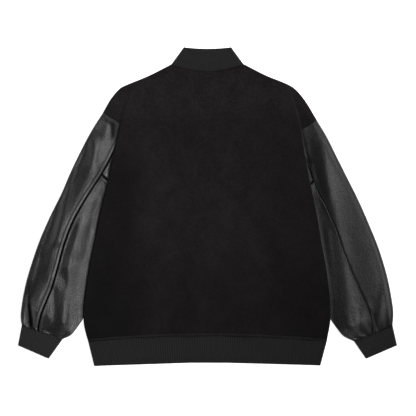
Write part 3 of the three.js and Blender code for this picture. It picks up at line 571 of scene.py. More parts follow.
def leather_material():
    material, nodes, links, shader = new_material("sleeve_leather", (0.01, 0.01, 0.01), 0.4, 0.0, 0.6)
    where = nodes.new("ShaderNodeTexCoord")
    cells = nodes.new("ShaderNodeTexVoronoi")
    cells.feature = "SMOOTH_F1"
    cells.inputs["Scale"].default_value = 620
    links.new(where.outputs["Object"], cells.inputs["Vector"])
    cloud = noise(nodes, links, 60, 4, 0.6)
    fine = noise(nodes, links, 1500, 2, 0.5)
    ramp = colour_between(nodes, links, cloud, (0.0055, 0.0055, 0.0054), (0.0095, 0.0095, 0.0093))
    # Painted highlight where the light mark is 1, painted shade where the dark mark is 1
    painted_highlight = shaded(nodes, links, ramp.outputs["Color"], "light", (0.075, 0.075, 0.074))
    links.new(shaded(nodes, links, painted_highlight, "dark", (0.0015, 0.0015, 0.0015)),
              shader.inputs["Base Color"])
    spread = nodes.new("ShaderNodeMapRange")
    spread.inputs["To Min"].default_value = 0.33
    spread.inputs["To Max"].default_value = 0.41
    links.new(cloud, spread.inputs["Value"])
    links.new(spread.outputs["Result"], shader.inputs["Roughness"])
    wide = noise(nodes, links, 330, 3, 0.6)
    matt_in_marks(nodes, links, shader, "dark", GLOSS, noise(nodes, links, 430, 2, 0.6))
    grain = math_node(nodes, links, "ADD", cells.outputs["Distance"],
                      math_node(nodes, links, "MULTIPLY", fine, 0.4))
    grain = math_node(nodes, links, "ADD", grain, math_node(nodes, links, "MULTIPLY", wide, 3.0))
    bump(nodes, links, shader, grain, 0.6, 0.0008)
    return material


def rib_material():
    material, nodes, links, shader = new_material("rib_knit", (0.011, 0.011, 0.011), 0.92, 0.12, 0.15)
    along = nodes.new("ShaderNodeAttribute")
    along.attribute_name = "along"
    rows = math_node(nodes, links, "SINE", math_node(nodes, links, "MULTIPLY", along.outputs["Fac"], 2.9))
    fibre = noise(nodes, links, 1100, 4, 0.7)
    height = math_node(nodes, links, "ADD", math_node(nodes, links, "MULTIPLY", rows, 0.3), fibre)
    ramp = colour_between(nodes, links, fibre, (0.0175, 0.0175, 0.0175), (0.0375, 0.0375, 0.0375))
    ramp.color_ramp.elements[0].position = 0.3
    ramp.color_ramp.elements[1].position = 0.7
    # The dark mark mixes in painted shade
    links.new(shaded(nodes, links, ramp.outputs["Color"], "dark", (0.004, 0.004, 0.004)),
              shader.inputs["Base Color"])
    bump(nodes, links, shader, height, 0.5, 0.0005)
    return material


def thread_material(name, base):
    material, nodes, links, shader = new_material(name, base, 0.6, 0.2, 0.4)
    twist = noise(nodes, links, 2400, 2, 0.5)
    bump(nodes, links, shader, twist, 0.4, 0.0002)
    return material


def snap_material():
    material, nodes, links, shader = new_material("snap", (0.02, 0.02, 0.022), 0.35, 0.0, 0.6)
    shader.inputs["Metallic"].default_value = 0.6
    wear_and_painted_shade = noise(nodes, links, 300, 3, 0.6)
    ramp = colour_between(nodes, links, wear_and_painted_shade, (0.016, 0.016, 0.018), (0.03, 0.03, 0.032))
    links.new(ramp.outputs["Color"], shader.inputs["Base Color"])
    return material


WOOL_MATERIAL = wool_material()
LEATHER_MATERIAL = leather_material()
RIB_MATERIAL = rib_material()
THREAD_MATERIAL = thread_material("thread", (0.02, 0.02, 0.02))
SNAP_MATERIAL = snap_material()


def dress(piece, material, slot, *nodes):
    piece.data.materials.append(material)
    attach(piece, "root")
    if nodes:
        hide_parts(*nodes)
    return piece


# The back: soft vertical folds as x at the hem, x higher up, half width, height, y of the start
BACK_FOLDS = [
    (-146, -128, 24, 1.6, 120), (-60, -44, 26, 1.5, 180), (20, 26, 20, -1.3, 20), (104, 96, 24, 1.4, 150),
    (176, 150, 22, -1.3, 60), (-215, -196, 18, -1.4, 160), (228, 200, 18, 1.0, 40),
    (-100, -92, 16, -0.8, -60), (60, 64, 16, 0.7, -80),
]


def toned(shade, tone):
    """The shade with a second one laid over it."""
    return 1 - (1 - shade) * (1 - tone)


def back_detail(x, y):
    """Height added to the back's outer face, and how dark it is there: painted shade in the seams and towards
    the sides and the hem.
    """
    hem_y = mix(HEM_SEAM_MIDDLE, -331.5, np.clip(np.abs(x) / 288, 0, 1) ** 2)
    above = y - hem_y
    turned = 1.1 * ease((6.5 - above) / 1.5) * ease(above / 1.2 + 0.1)
    stitched = -0.5 * bell((above - 7.6) / 0.9)
    near_hem = ease((60 - above) / 60) * ease((above - 5) / 14)
    puckers = 0.55 * near_hem * np.sin(x / 4.3 + 1.6 * np.sin(x / 31)) * (0.6 + 0.4 * np.sin(x / 23 + 1))
    neck_y = mix(332, 350, np.clip(np.abs(x) / 87, 0, 1) ** 2)
    below = neck_y - y
    neck = 0.6 * bell((below - 2.5) / 2) * (np.abs(x) < 92)
    soft = 0.5 * wrinkle(x, y, 130, 4) + 0.22 * wrinkle(x, y, 52, 9)
    for low_x, high_x, wide, high, begin in BACK_FOLDS:
        centre = mix(low_x, high_x, (y + 330) / 500) + 5 * np.sin(y / 63 + low_x)
        soft = soft + high * bell((x - centre) / wide) * ease((begin - y) / 160) * ease((y + 345) / 60 + 0.25)
    # Painted shade in the seam grooves of the hem, of its stitching and of the neck
    dark = 0.85 * bell(above / 1.1) + 0.5 * bell((above - 7.8) / 0.9)
    dark = dark + 0.7 * bell(below) * (np.abs(x) < 88)
    # Painted shade: darker towards the sides, most on the left, towards the hem and below the shoulders
    wear_and_painted_shade = np.where(x < 0, 0.54, 0.22) * ease((np.abs(x) - 130) / 90) * ease((180 - y) / 120)
    wear_and_painted_shade = toned(wear_and_painted_shade, 0.34 * ease((-40 - y) / 200))
    wear_and_painted_shade = toned(wear_and_painted_shade, 0.33 * ease((270 - y) / 80))
    band = ease((6.4 - above) / 1.2) * ease((above - 1.2) / 1.2)
    dark = np.maximum(dark, (wear_and_painted_shade + 0.06 * wrinkle(x, y, 80, 3)) * (1 - 0.95 * band))
    return turned + stitched + puckers + neck + soft, np.clip(dark, 0, 1)


def make_back():
    spans = np.abs(np.diff(BACK_ROWS.mean(axis=1)))
    places = np.concatenate([[0], np.cumsum(spans)])
    coarse, fine = ((150, 18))
    cut = places[-1] - 14
    wanted = np.concatenate([np.linspace(0, cut, coarse), np.linspace(cut, places[-1], fine)[1:]])
    rows = np.interp(wanted, places, np.arange(len(BACK_ROWS)))
    rows = np.sort(np.concatenate([rows, [CORNER_ROW - 0.03, CORNER_ROW, CORNER_ROW + 0.04]]))

    def half(side, column, r):
        y_edge = np.interp(r, range(len(BACK_ROWS)), BACK_ROWS[:, column])
        return back_half_row(side, y_edge, np.interp(r, range(len(BACK_ROWS)), BACK_ROWS[:, 2]))

    def row_at(r):
        return half(LEFT, 0, r), half(RIGHT, 1, r)

    step_row, fold_row = row_at(LAST_STEP_ROW), row_at(FIRST_FOLD_ROW)
    outer, inner, dark = [], [], []
    for r in rows:
        t = (r - LAST_STEP_ROW) / (FIRST_FOLD_ROW - LAST_STEP_ROW)
        if 0 < t < 1:
            left, right = (mix(a, b, t) for a, b in zip(step_row, fold_row))
        else:
            left, right = row_at(r)
        line = np.vstack([left[::-1] * (-1, 1, 1), right[1:]])
        top, under = faces_of(line, WOOL)
        high, shade = back_detail(line[:, 0], line[:, 1])
        hidden = TAIL_COLUMNS + TURN_COLUMNS // 2 if r > FIRST_FOLD_ROW else 0
        fade = np.ones(len(line))
        if hidden:
            fade[:hidden] = fade[-hidden:] = 0
            ramp = np.linspace(0, 1, 9)
            fade[hidden : hidden + 9] = ramp
            fade[-hidden - 9 : -hidden] = ramp[::-1]
        top[:, 2] += high * fade
        # Painted shade along the armhole edges of the rows above the step
        if r < LAST_STEP_ROW:
            shade[[0, 1, -1, -2]] = 0.6
        outer.append(top)
        inner.append(under)
        dark.append(shade)
    return grid_mesh("back_wool", outer, inner, marks={"dark": dark})


dress(make_back(), WOOL_MATERIAL, "wool", "back")


# The fronts, on the ground
def neck_x(y):
    share = np.clip((y - NECK_DEPTH) / (NECK_TOP - NECK_DEPTH), 0, 1)
    return NECK_HALF * share ** (1 / NECK_CURVE)


def make_front(side, lifted, name):
    neck_rows = NECK_DEPTH + (NECK_TOP - 1.4 - NECK_DEPTH) * np.linspace(1, 0, 26) ** 1.8
    low = float(np.interp(35, range(36), BACK_ROWS[:, 0 if side.sign < 0 else 1]))
    rows = np.concatenate([neck_rows, [NECK_DEPTH - 1], np.linspace(NECK_DEPTH - 6, low, 120)])
    top, under, dark = [], [], []
    for i, y in enumerate(rows):
        neck = float(neck_x(y))
        end = float(side.end_x(y) if y >= side.corner else side_seam_x(side, y)) - SEAM / 2
        start = -OVERLAP if y < NECK_DEPTH else neck + SEAM
        x = np.concatenate([mix(start, start + min(50, (end - start) * 0.4), np.linspace(0, 1, 24)),
                            mix(start + min(50, (end - start) * 0.4), end, np.linspace(0, 1, 40))[1:]])
        level = (WOOL + SEAM) * (1 - ease((x - OVERLAP - 1) / OVERLAP_STEP)) if lifted else 0 * x
        share = ease((low + 24 - y) / 24)
        lower = mix(HEM_SEAM_MIDDLE, low, hem_share(x, float(side.edge.x_at(low)))) - low
        yy = y + lower * share
        line = np.stack([x * side.sign, yy, level], -1)
        under.append(line)
        top.append(line + (0, 0, WOOL))
        dark.append(0.5 * bell((x - start - 6) / 0.8))
    return grid_mesh(name, top, under, marks={"dark": dark})


dress(make_front(LEFT, False, "front_left_wool"), WOOL_MATERIAL, "wool", "front_left")
dress(make_front(RIGHT, True, "front_right_wool"), WOOL_MATERIAL, "wool", "front_right")


# The sleeves
FRONT_SEAM = 0.62
GUSSET_AT = 0.22
STATIONS = 150


def along_lines(lines, x, y):
    """The strongest of soft marks along lines."""
    mark = 0 * x
    for x1, y1, x2, y2, wide, strong in lines:
        mark = np.maximum(mark, strong * bell(off_line(x, y, x1, y1, x2, y2) / wide))
    return mark


def shade_of(side, x, y):
    """How dark the leather is painted: shade in its deep creases, along the body's edge, over broad areas and
    by the rim.
    """
    # Painted shade within a band along the rim, where a highlight would show
    by_rim = side.rim_shade * ease((26 - distance_to(side.rim, x, y)) / 13)
    return np.maximum(by_rim, along_lines(side.shades[0], x, y))


def lip_profile(from_seam):
    """The lip along the seam: an even slope up from the seam, a crest and a steep outer side."""
    climb = np.clip(from_seam / 4.6, 0, 1)
    return ease((LIP_WIDE - from_seam) / 1.6) * (0.25 + 0.75 * climb * (1.25 - 0.25 * climb))


def fold_height(side, x, y):
    total = 0
    for x1, y1, x2, y2, wide, high in side.folds[0]:
        total = total + high * bell(off_line(x, y, x1, y1, x2, y2) / wide)
    total = total + 0.35 * wrinkle(x, y, 38, 5 + side.sign)
    free = ease((x - side.edge.x_at(y) - 6) / 20)
    return total * free * ease(distance_to(side.rim, x, y) / 14)


class Station:
    """One cross-section of a sleeve: plan positions and heights across it."""

    def __init__(self, side, f):
        self.side, self.f = side, f
        self.outer, self.inner = side.outer.at(f), side.inner.at(f**1.25)
        self.bend = 1 - float(ease(f / 0.35))
        self.base = side.outer.at(0.0), side.inner.at(0.0)
        self.wide = float(np.linalg.norm(self.plan(1.0) - self.plan(0.0)))
        v = np.linspace(0, 1, 400)
        p = self.plan(v)
        beyond = p[:, 0] - side.seam.x_at(p[:, 1])
        k = int(np.argmax(beyond <= 0)) or 200
        share = beyond[k - 1] / (beyond[k - 1] - beyond[k])
        self.seam = (k - 1 + share) / 399 * self.wide
        self.out = float(mix(INNER_RADIUS, OUTER_RADIUS, ease(f / 0.1)))
        self.inn = float(mix(SLEEVE_END_TOP / 2, INNER_RADIUS, ease((1 - f) / 0.1)))

    def plan(self, v):
        v = np.asarray(v, float)[..., None]
        straight = mix(self.outer, self.inner, v)
        base = mix(self.base[0], self.base[1], v)
        return straight + self.bend * (self.side.armhole.at(v[..., 0]) - base)

    def height(self, u):
        side, f = self.side, self.f
        p = self.plan(u / self.wide)
        x, y = p[..., 0], p[..., 1]
        pleats = 0
        for across, wide, high in side.folds[1]:
            pleats = pleats + high * bell((u / self.wide - across) / wide)
        reach = float(ease((1 - f) / 0.02) * ease((f - 0.86) / 0.12))
        clear = ease((x - side.edge.x_at(y) - 6) / 20) if f > 0.9 else 0
        cover = cover_top(side, x, y) + fold_height(side, x, y) * float(ease(f / 0.03))
        return mix(SLEEVE_END_TOP, cover, float(ease((1 - f) / 0.1))) + pleats * reach * clear


def loop_of(station, piece):
    """Outer points (u, z) of a piece of the section, its painted shade and painted highlight marks, and the
    wall's inside.
    """
    turn = np.linspace(0, math.pi, 13)[1:]
    near = np.array([0, 0.6, 1.2, 2, 2.8, 3.6, 4.5, 5.4, 6.2, 7, 8.2, 10, 13])
    if piece == "upper":
        edge, way, pole = station.seam - SEAM / 2, -1, station.out
        radius = station.out
        low_end = station.wide * FRONT_SEAM - SEAM / 2
    else:
        edge, way, pole = station.seam + SEAM / 2, 1, station.wide - station.inn
        radius = station.inn
        low_end = station.wide * FRONT_SEAM + SEAM / 2
    reach = abs(pole - edge)
    near = near * min(1, reach / 30)
    rest = mix(near[-1], reach, np.linspace(0, 1, 40))[1:]
    from_seam = np.concatenate([near, rest])
    u = edge + way * from_seam
    z = station.height(u)
    open_part = float(ease(station.f / 0.05))
    fine = station.side.seam_size
    from_seam = from_seam / fine
    if piece == "upper":
        lift = LIP_HIGH * lip_profile(from_seam)
        press = -0.7 * bell((from_seam - LIP_WIDE - 0.6) / 1.1)
        # Painted shade in the stitch line past the lip, painted highlight on the lip's slope
        dark = 0.55 * bell((from_seam - LIP_WIDE - 0.6) / 0.9)
        light = bell((from_seam - 2.7) / 1.9) * station.side.seam_size**2
    else:
        lift = -GROOVE_DEEP * ease((GROOVE_WIDE - from_seam) / 2.2)
        press = 0.9 * bell((from_seam - GROOVE_WIDE - 2.2) / 2.0)
        # Painted shade in the groove by the seam, painted highlight on the ridge beside it
        dark = ease((GROOVE_WIDE + 0.4 - from_seam) / 1.6)
        light = 0.35 * bell((from_seam - GROOVE_WIDE - 2.2) / 1.3) * station.side.seam_size**2
    p = station.plan(u / station.wide)
    shown = ease((p[:, 0] - station.side.edge.x_at(p[:, 1]) + 4) / 8)
    z = z + (lift + press) * fine * shown * open_part
    # Painted highlights and painted shade from the tables, where the body doesn't cover the leather
    light = np.maximum(light, along_lines(station.side.shades[1], p[:, 0], p[:, 1])) * shown
    dark = np.maximum(dark, shade_of(station.side, p[:, 0], p[:, 1])) * shown
    # Painted shade where the sleeve runs into the cuff
    end_dark = float(ease((station.f - 0.992) / 0.006))
    z_turn = float(station.height(np.array([pole]))[0]) / 2
    u_turn = pole + way * radius * np.sin(turn)
    low = mix(pole, low_end, np.linspace(0, 1, 12))[1:]
    us = np.concatenate([u, u_turn, low])
    zs = np.concatenate([z, z_turn * (1 + np.cos(turn)), 0 * low])
    dark = np.concatenate([dark, 0 * u_turn, 0 * low])
    light = np.concatenate([light, 0 * u_turn, 0 * low])
    dark = np.maximum(dark, end_dark * 0.9 * (zs > 3))
    line = np.stack([us, 0 * us, zs], -1)
    ahead, behind = np.vstack([line[1:], line[-1:]]), np.vstack([line[:1], line[:-1]])
    run, rise = ahead[:, 0] - behind[:, 0], ahead[:, 2] - behind[:, 2]
    rise[[0, -1]] = 0
    long = np.hypot(run, rise)
    inside_u = us + way * rise / long * LEATHER
    inside_z = zs - way * run / long * LEATHER
    return (us, zs), (inside_u, inside_z), dark, light


def place(station, u, z):
    p = station.plan(u / station.wide)
    return np.stack([p[..., 0] * station.side.sign, p[..., 1], z], -1)


def sleeve_piece(side, piece, start, stop, name):
    count = max(8, int(STATIONS * (stop - start)))
    fs = np.linspace(start, stop, count)
    if stop == 1:
        fs = np.concatenate([fs[:-1], np.linspace(fs[-2], 1, 6)[1:]])
    if start == 0:
        fs = np.concatenate([[0, 0.0015, 0.003, 0.005, 0.0075], fs[fs > 0.009]])
    if piece == "under":
        fs = np.concatenate([start + np.arange(0, 12) * 0.0018, fs[fs > start + 0.021]])
    if piece == "gusset":
        fs = np.concatenate([fs[fs < stop - 0.021], stop - np.arange(11, -1, -1) * 0.0018])
    outer, inner, dark, light = [], [], [], []
    for f in fs:
        station = Station(side, f)
        face, inside, shade, painted_highlight = loop_of(station, piece)
        outer.append(place(station, *face))
        inner.append(place(station, *inside))
        dark.append(shade)
        light.append(painted_highlight)
    outer, inner, dark, light = (np.array(rows) for rows in (outer, inner, dark, light))
    for grid in (outer, inner):
        for here, there in ((0, 1), (-1, -2)):
            step = grid[there] - grid[here]
            step[:, 2] = 0
            long = np.linalg.norm(step, axis=1, keepdims=True)
            grid[here] += step / np.maximum(long, 1e-6) * SEAM * (1.5 if here == 0 and start == 0 else 0.8)
    from_end = np.abs(fs - (start if piece == "under" else GUSSET_AT)) * 470
    if piece != "upper":
        top = outer[:, :, 2] > 5
        depth = -1.3 * ease((2.6 - from_end) / 1.6) + 1.9 * bell((from_end - 4.8) / 2.4)
        outer[:, :, 2] += depth[:, None] * top
        # Painted shade in the cross seam, painted highlights on the stitched ridges beside it
        dark = np.maximum(dark, (ease((2.2 - from_end) / 1.0))[:, None] * top)
        stitched = 0.8 * bell((from_end - 4.6) / 1.5) * side.seam_size**2
        light = np.maximum(light, stitched[:, None] * top)
    if start == 0:
        # Painted shade in the top rows, under the wool's edge at the armhole
        dark[:3] = np.maximum(dark[:3], np.array([1, 0.8, 0.3])[:, None] * (outer[:3, :, 2] > 3))
    return grid_mesh(name, outer, inner, marks={"dark": dark, "light": light})


def stitches(side, name, offset, start, stop):
    """Short raised threads along the sleeve's back seam, on the upper piece."""
    seam_line = []
    for f in np.linspace(start, stop, 90):
        station = Station(side, f)
        p = station.plan(station.seam / station.wide)
        seam_line.append((f, p[0], p[1]))
    seam_line = np.array(seam_line)
    gaps = np.hypot(np.diff(seam_line[:, 1]), np.diff(seam_line[:, 2]))
    run = np.concatenate([[0], np.cumsum(gaps)])
    verts, quads = [], []
    for s in np.arange(2, run[-1] - 2, STITCH_PITCH):
        ends = []
        for t in (s, s + STITCH_PITCH * 0.62):
            f = float(np.interp(t, run, seam_line[:, 0]))
            station = Station(side, f)
            u = station.seam - offset * side.seam_size
            z = float(station.height(np.array([u]))[0])
            lift = LIP_HIGH * side.seam_size * float(lip_profile(offset))
            ends.append(place(station, np.array(u), np.array(z + lift + 0.15)))
        a, b = ends
        if abs(a[0]) < side.edge.x_at(a[1]) + 1:
            continue
        along = (b - a) / np.linalg.norm(b - a)
        across = np.cross(along, (0, 0, 1.0))
        across /= np.linalg.norm(across)
        up = np.cross(across, along)
        base = len(verts)
        thick, thin = THREAD_RADIUS, THREAD_RADIUS * 0.47
        for at, size in ((a, thin), (mix(a, b, 0.2), thick), (mix(a, b, 0.8), thick), (b, thin)):
            for k in range(6):
                angle = k * math.pi / 3
                verts.append((at + size * (across * math.cos(angle) + up * math.sin(angle))) * MM)
        for ring in range(3):
            for k in range(6):
                j = (k + 1) % 6
                quads.append([base + ring * 6 + k, base + ring * 6 + j, base + ring * 6 + 6 + j,
                              base + ring * 6 + 6 + k])
        quads.append([base + k for k in range(5, -1, -1)])
        quads.append([base + 18 + k for k in range(6)])
    return placed(name, plain_mesh(name, [tuple(v) for v in verts], quads))


for side, word in ((LEFT, "left"), (RIGHT, "right")):
    node = "sleeve_" + word
    for piece, start, stop in (("upper", 0.0, 1.0), ("gusset", 0.0, GUSSET_AT), ("under", GUSSET_AT, 1.0)):
        name = node + "_" + piece
        shape = sleeve_piece(side, piece, start, stop, name + "_leather")
        dress(shape, LEATHER_MATERIAL, "sleeve_leather", name)
    sewn = stitches(side, node + "_topstitch", LIP_WIDE - 1.9, 0.1, 0.985)
    dress(sewn, THREAD_MATERIAL, "sleeve_leather")


# Ribbed pieces
def rib_wave(s):
    """A rounded rib across s millimetres: 1 on its back, 0 in the channel."""
    return 0.5 + 0.5 * np.cos(s * 2 * math.pi / RIB_PITCH)


def make_cuff(side, name):
    radius = CUFF_TOP / 2
    top_count = 150
    outer, inner, dark, along = [], [], [], []
    length = float(np.linalg.norm(np.array(side.cuff[0]) - side.outer.at(1.0)))
    for t in np.linspace(0.006, 1, 26):
        o = mix(side.outer.at(1.0), np.array(side.cuff[0]), t)
        i = mix(side.inner.at(1.0), np.array(side.cuff[1]), t)
        wide = float(np.linalg.norm(i - o))
        flat = wide - 2 * radius
        u = radius + flat * np.linspace(0, 1, top_count)
        ribs = rib_wave((u - wide / 2) / wide * 100)
        belly = 0.8 * math.sin(math.pi * t) * np.sin(math.pi * (u - radius) / flat)
        turned = 1 - 0.5 * float(ease((t - 0.93) / 0.07))
        z = CUFF_TOP - 0.2 + belly + ribs * RIB_HIGH * turned
        loop = [(u, z, CUFF_TOP - RIB + belly, 1 - ribs)]
        a = math.pi / 2 - np.linspace(0, math.pi, 13)[1:-1]
        small = radius - RIB
        loop.append((wide - radius + radius * np.cos(a), radius + radius * np.sin(a), None, a * 0))
        u2 = wide - radius - flat * np.linspace(0, 1, 40)
        loop.append((u2, 0 * u2, 0 * u2 + RIB, 0 * u2))
        b = -math.pi / 2 - np.linspace(0, math.pi, 13)[1:-1]
        loop.append((radius + radius * np.cos(b), radius + radius * np.sin(b), None, b * 0))
        us = np.concatenate([p[0] for p in loop])
        zs = np.concatenate([p[1] for p in loop])
        in_u = np.concatenate([loop[0][0], wide - radius + small * np.cos(a), loop[2][0],
                               radius + small * np.cos(b)])
        in_z = np.concatenate([loop[0][2], radius + small * np.sin(a), loop[2][2],
                               radius + small * np.sin(b)])
        plan = lambda w: mix(o, i, (w / wide)[:, None])
        for grid, w, h in ((outer, us, zs), (inner, in_u, in_z)):
            p = plan(w)
            grid.append(np.stack([p[:, 0] * side.sign, p[:, 1], h], -1))
        # Painted shade in the channels between the ribs, over the whole left cuff and in the seam to the
        # sleeve
        shade = np.concatenate([p[3] for p in loop]) * 0.45
        shade = toned(shade, 0.16 if side is LEFT else 0.0)
        dark.append(np.maximum(shade, 0.85 * bell(t * length / 1.6) * (zs > 3)))
        along.append(np.full(len(us), t * length))
    marks = {"dark": dark, "along": along}
    return grid_mesh(name, outer, inner, ring=True, marks=marks)


dress(make_cuff(LEFT, "cuff_left_rib"), RIB_MATERIAL, "rib_knit", "cuff_left")
dress(make_cuff(RIGHT, "cuff_right_rib"), RIB_MATERIAL, "rib_knit", "cuff_right")


def make_hem():
    outer, inner, dark, along = [], [], [], []
    for t in np.linspace(0, 1, 26):
        left = mix(float(LEFT.edge.x_at(-332)), HEM_BOTTOM["half_left"], t)
        right = mix(float(RIGHT.edge.x_at(-330.6)), HEM_BOTTOM["half_right"], t)
        y_left = mix(-332 - SEAM, HEM_BOTTOM["left"], t)
        y_right = mix(-330.6 - SEAM, HEM_BOTTOM["right"], t)
        y_middle = mix(HEM_SEAM_MIDDLE - SEAM, HEM_BOTTOM["middle"], t)
        edge_top = mix(HEM_EDGE_TOP, 8, t)
        radius = (edge_top - RIB) / 2
        turn_left, turn_right = left - radius - RIB / 2, right - radius - RIB / 2
        low = RIB / 2
        a = np.linspace(0, math.pi, 13)
        strip_left = np.linspace(OVERLAP, 11 - left, 60)
        top = np.linspace(-turn_left, turn_right, 620)
        strip_right = np.concatenate([np.linspace(right - 11, 30, 40), np.linspace(28, -OVERLAP, 30)])
        xs = np.concatenate([strip_left, -turn_left - radius * np.sin(a[:-1]), top,
                             turn_right + radius * np.sin(a[1:]), strip_right])
        reach = np.where(top < 0, turn_left, turn_right)
        bump_z = PLACKET_BUMP * (1 - ease((np.abs(top) - 20) / 45))
        soft = 0.5 * wrinkle(top, top * 0 + t * 60, 90, 31) * math.sin(math.pi * t)
        top_z = mix(BACK_MIDDLE + bump_z, edge_top, ease((np.abs(top) - reach + 75) / 75)) + soft
        zs = np.concatenate([0 * strip_left + low, low + radius * (1 - np.cos(a[:-1])), top_z - RIB / 2,
                             low + radius * (1 + np.cos(a[1:])),
                             low + (RIB + SEAM) * (1 - ease((strip_right - OVERLAP - 1) / OVERLAP_STEP))])
        on_top = np.zeros(len(xs), bool)
        first = len(strip_left) + 12
        on_top[first : first + len(top)] = True
        corner = np.where(xs < 0, y_left, y_right)
        reach_all = np.where(xs < 0, turn_left, turn_right)
        full = np.where(xs < 0, left, right)
        share = np.where(on_top, np.clip(np.abs(xs) / reach_all, 0, 1) ** 2, hem_share(np.abs(xs), full))
        line = np.stack([xs, mix(y_middle, corner, share), zs], -1)
        face, back_face = faces_of(line, RIB)
        ribs = np.zeros(len(xs))
        turned = 1 - 0.5 * float(ease((t - 0.95) / 0.05))
        ribs[on_top] = rib_wave(top / (turn_left + turn_right) * 568) * turned
        face[:, 2] += ribs * RIB_HIGH
        outer.append(face)
        inner.append(back_face)
        # Painted shade in the channels between the ribs, over the whole hem and in the seam to the back
        shade = np.where(on_top, (1 - ribs) * 0.42, 0)
        dark.append(np.maximum(toned(shade, 0.44), 0.85 * bell(t * HEM_DEEP / 1.5) * on_top))
        along.append(np.full(len(xs), t * HEM_DEEP))
    marks = {"dark": dark, "along": along}
    return grid_mesh("hem_rib_knit", outer, inner, marks=marks)


dress(make_hem(), RIB_MATERIAL, "rib_knit", "hem_rib")

COLLAR_FRONT_TOP = 335.0
COLLAR_HALF, COLLAR_CORNER, COLLAR_MIDDLE = 58.5, 390.8, 387.0


def make_collar():
    outer, inner, dark, along = [], [], [], []
    low, back_level = RIB / 2, 5.9
    radius = (back_level - low) / 2
    a = np.linspace(0, math.pi, 13)
    for t in np.linspace(0, 1, 24):
        half = mix(NECK_HALF, COLLAR_HALF, t) + 2.4 * (1 - t) ** 2 - radius - RIB / 2
        corner_y = mix(NECK_TOP, COLLAR_CORNER, t) - 1.8 * (1 - t) ** 4
        y = NECK_DEPTH + (NECK_TOP - 1.4 - NECK_DEPTH) * np.linspace(0, 1, 36) ** 1.8
        share = neck_x(y) / NECK_HALF
        x = mix(neck_x(y), COLLAR_HALF * share, t) - (radius + RIB / 2) * share**3
        x = np.maximum(0.5, x)
        x[1:] = np.maximum(x[1:], x[0] + 0.2 * np.arange(1, len(x)))
        yy = mix(y + 0.4, mix(COLLAR_FRONT_TOP, COLLAR_CORNER, share**2), t)
        top = np.linspace(-half, half, 190)
        middle = mix(332 + SEAM, COLLAR_MIDDLE, t)
        belly = 0.6 * (1 - (top / half) ** 2) + 1.3 * math.sin(math.pi * t) * (1 - (top / half) ** 2)
        rim = half + radius + RIB / 2
        parts = [
            (-x, yy, 0 * x + low),
            (-half - radius * np.sin(a[1:-1]), 0 * a[1:-1] + corner_y, low + radius * (1 - np.cos(a[1:-1]))),
            (top, mix(middle, corner_y, (top / rim) ** 2), back_level + belly),
            (half + radius * np.sin(a[1:-1]), 0 * a[1:-1] + corner_y, low + radius * (1 + np.cos(a[1:-1]))),
            (x[::-1], yy[::-1], 0 * x + low),
        ]
        line = np.array([np.concatenate([p[k] for p in parts]) for k in range(3)]).T
        face, back_face = faces_of(line, RIB)
        first = len(x) + len(a) - 2
        ribs = np.zeros(len(line))
        turned = 1 - 0.5 * float(ease((t - 0.93) / 0.07))
        ribs[first : first + len(top)] = rib_wave(top / (2 * half) * 165) * turned
        on_top = np.zeros(len(line), bool)
        on_top[first : first + len(top)] = True
        face[:, 2] += ribs * RIB_HIGH
        outer.append(face)
        inner.append(back_face)
        # Painted shade in the channels between the ribs, over the whole collar and in the seam to the back
        shade = np.where(on_top, (1 - ribs) * 0.4, 0)
        dark.append(np.maximum(toned(shade, 0.15), 0.8 * bell(t * COLLAR_DEEP / 1.5) * on_top))
        along.append(np.full(len(line), t * COLLAR_DEEP))
    marks = {"dark": dark, "along": along}
    return grid_mesh("collar_rib", outer, inner, marks=marks)


dress(make_collar(), RIB_MATERIAL, "rib_knit", "collar")


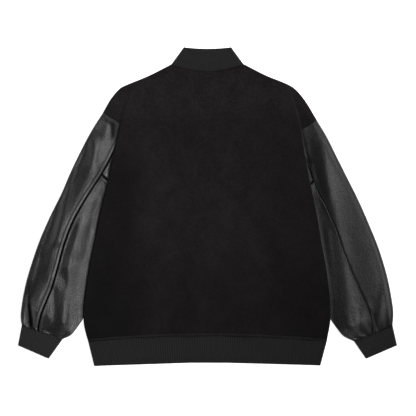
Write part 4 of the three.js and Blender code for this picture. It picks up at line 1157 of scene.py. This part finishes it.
# Snap caps on the hidden front, flush with the ground
def make_snap(name, y):
    """A turned cap: a flat face, a rolled rim and a straight wall up into the cloth."""
    profile = [(0, 0.0), (5.2, 0.0), (5.8, 0.12), (6.4, 0.12), (6.8, 0.0), (7.2, 0.05), (7.5, 0.3),
               (7.5, 0.6), (7.3, 0.85), (6.9, SNAP_THICK), (0, SNAP_THICK)]
    steps = 48
    verts, quads = [], []
    for r, z in profile:
        for k in range(steps):
            angle = 2 * math.pi * k / steps
            verts.append(((r * math.cos(angle)) * MM, (y + r * math.sin(angle)) * MM, z * MM))
    for i in range(1, len(profile) - 2):
        for k in range(steps):
            j = (k + 1) % steps
            quads.append([i * steps + j, i * steps + k, (i + 1) * steps + k, (i + 1) * steps + j][::-1])
    quads.append([steps + k for k in range(steps)][::-1])
    quads.append([(len(profile) - 2) * steps + k for k in range(steps)])
    used = sorted({v for q in quads for v in q})
    renamed = {v: i for i, v in enumerate(used)}
    mesh = plain_mesh(name, [verts[v] for v in used], [[renamed[v] for v in q] for q in quads])
    mesh.set_sharp_from_angle(angle=math.radians(40))
    return placed(name, mesh)


for index, snap_y in enumerate(SNAP_Y, 1):
    dress(make_snap("snap_cap_%d" % index, snap_y), SNAP_MATERIAL, "snap", "snap_%d" % index)

# Floor, light and camera
floor_mesh = bpy.data.meshes.new("floor")
floor_mesh.from_pydata([(-6, -6, 0), (6, -6, 0), (6, 6, 0), (-6, 6, 0)], [], [(0, 1, 2, 3)])
floor = placed("floor", floor_mesh)
floor.location.z = -0.0004
floor_material, _, _, floor_shader = new_material("floor", (0.86, 0.86, 0.86), 0.9)
floor_shader.inputs["Emission Color"].default_value = (1, 1, 1, 1)
floor_shader.inputs["Emission Strength"].default_value = 0.9
floor_mesh.materials.append(floor_material)

scene = bpy.context.scene
world = bpy.data.worlds.new("studio")
scene.world = world
world.use_nodes = True
world.node_tree.nodes["Background"].inputs["Color"].default_value = (1, 1, 1, 1)
world.node_tree.nodes["Background"].inputs["Strength"].default_value = 0.095
scene.view_settings.view_transform = "Standard"


def area_light(name, where, aim, size, power, spread=180):
    data = bpy.data.lights.new(name, "AREA")
    data.shape = "RECTANGLE"
    data.size, data.size_y = size
    data.energy = power
    data.spread = math.radians(spread)
    lamp = placed(name, data)
    lamp.location = where
    lamp.rotation_euler = (Vector(aim) - Vector(where)).to_track_quat("-Z", "Y").to_euler()
    return lamp


area_light("key", (0.98, 0.05, 2.08), (-0.5, -0.2, 0), (0.8, 1.1), 4.15, 45)
area_light("top", (0.6, 1.85, 1.2), (0.05, 0.2, 0), (1.5, 0.6), 10.8, 120)

VIEW_WIDTH = 1.0192
VIEW_CENTRE = (0.0012, -0.0036)
CAMERA_HEIGHT = 3.6
camera_data = bpy.data.cameras.new("camera")
camera_data.sensor_fit = "HORIZONTAL"
camera_data.angle = 2 * math.atan(VIEW_WIDTH / 2 / (CAMERA_HEIGHT - 0.012))
camera = placed("camera", camera_data)
camera.location = (*VIEW_CENTRE, CAMERA_HEIGHT)
scene.camera = camera
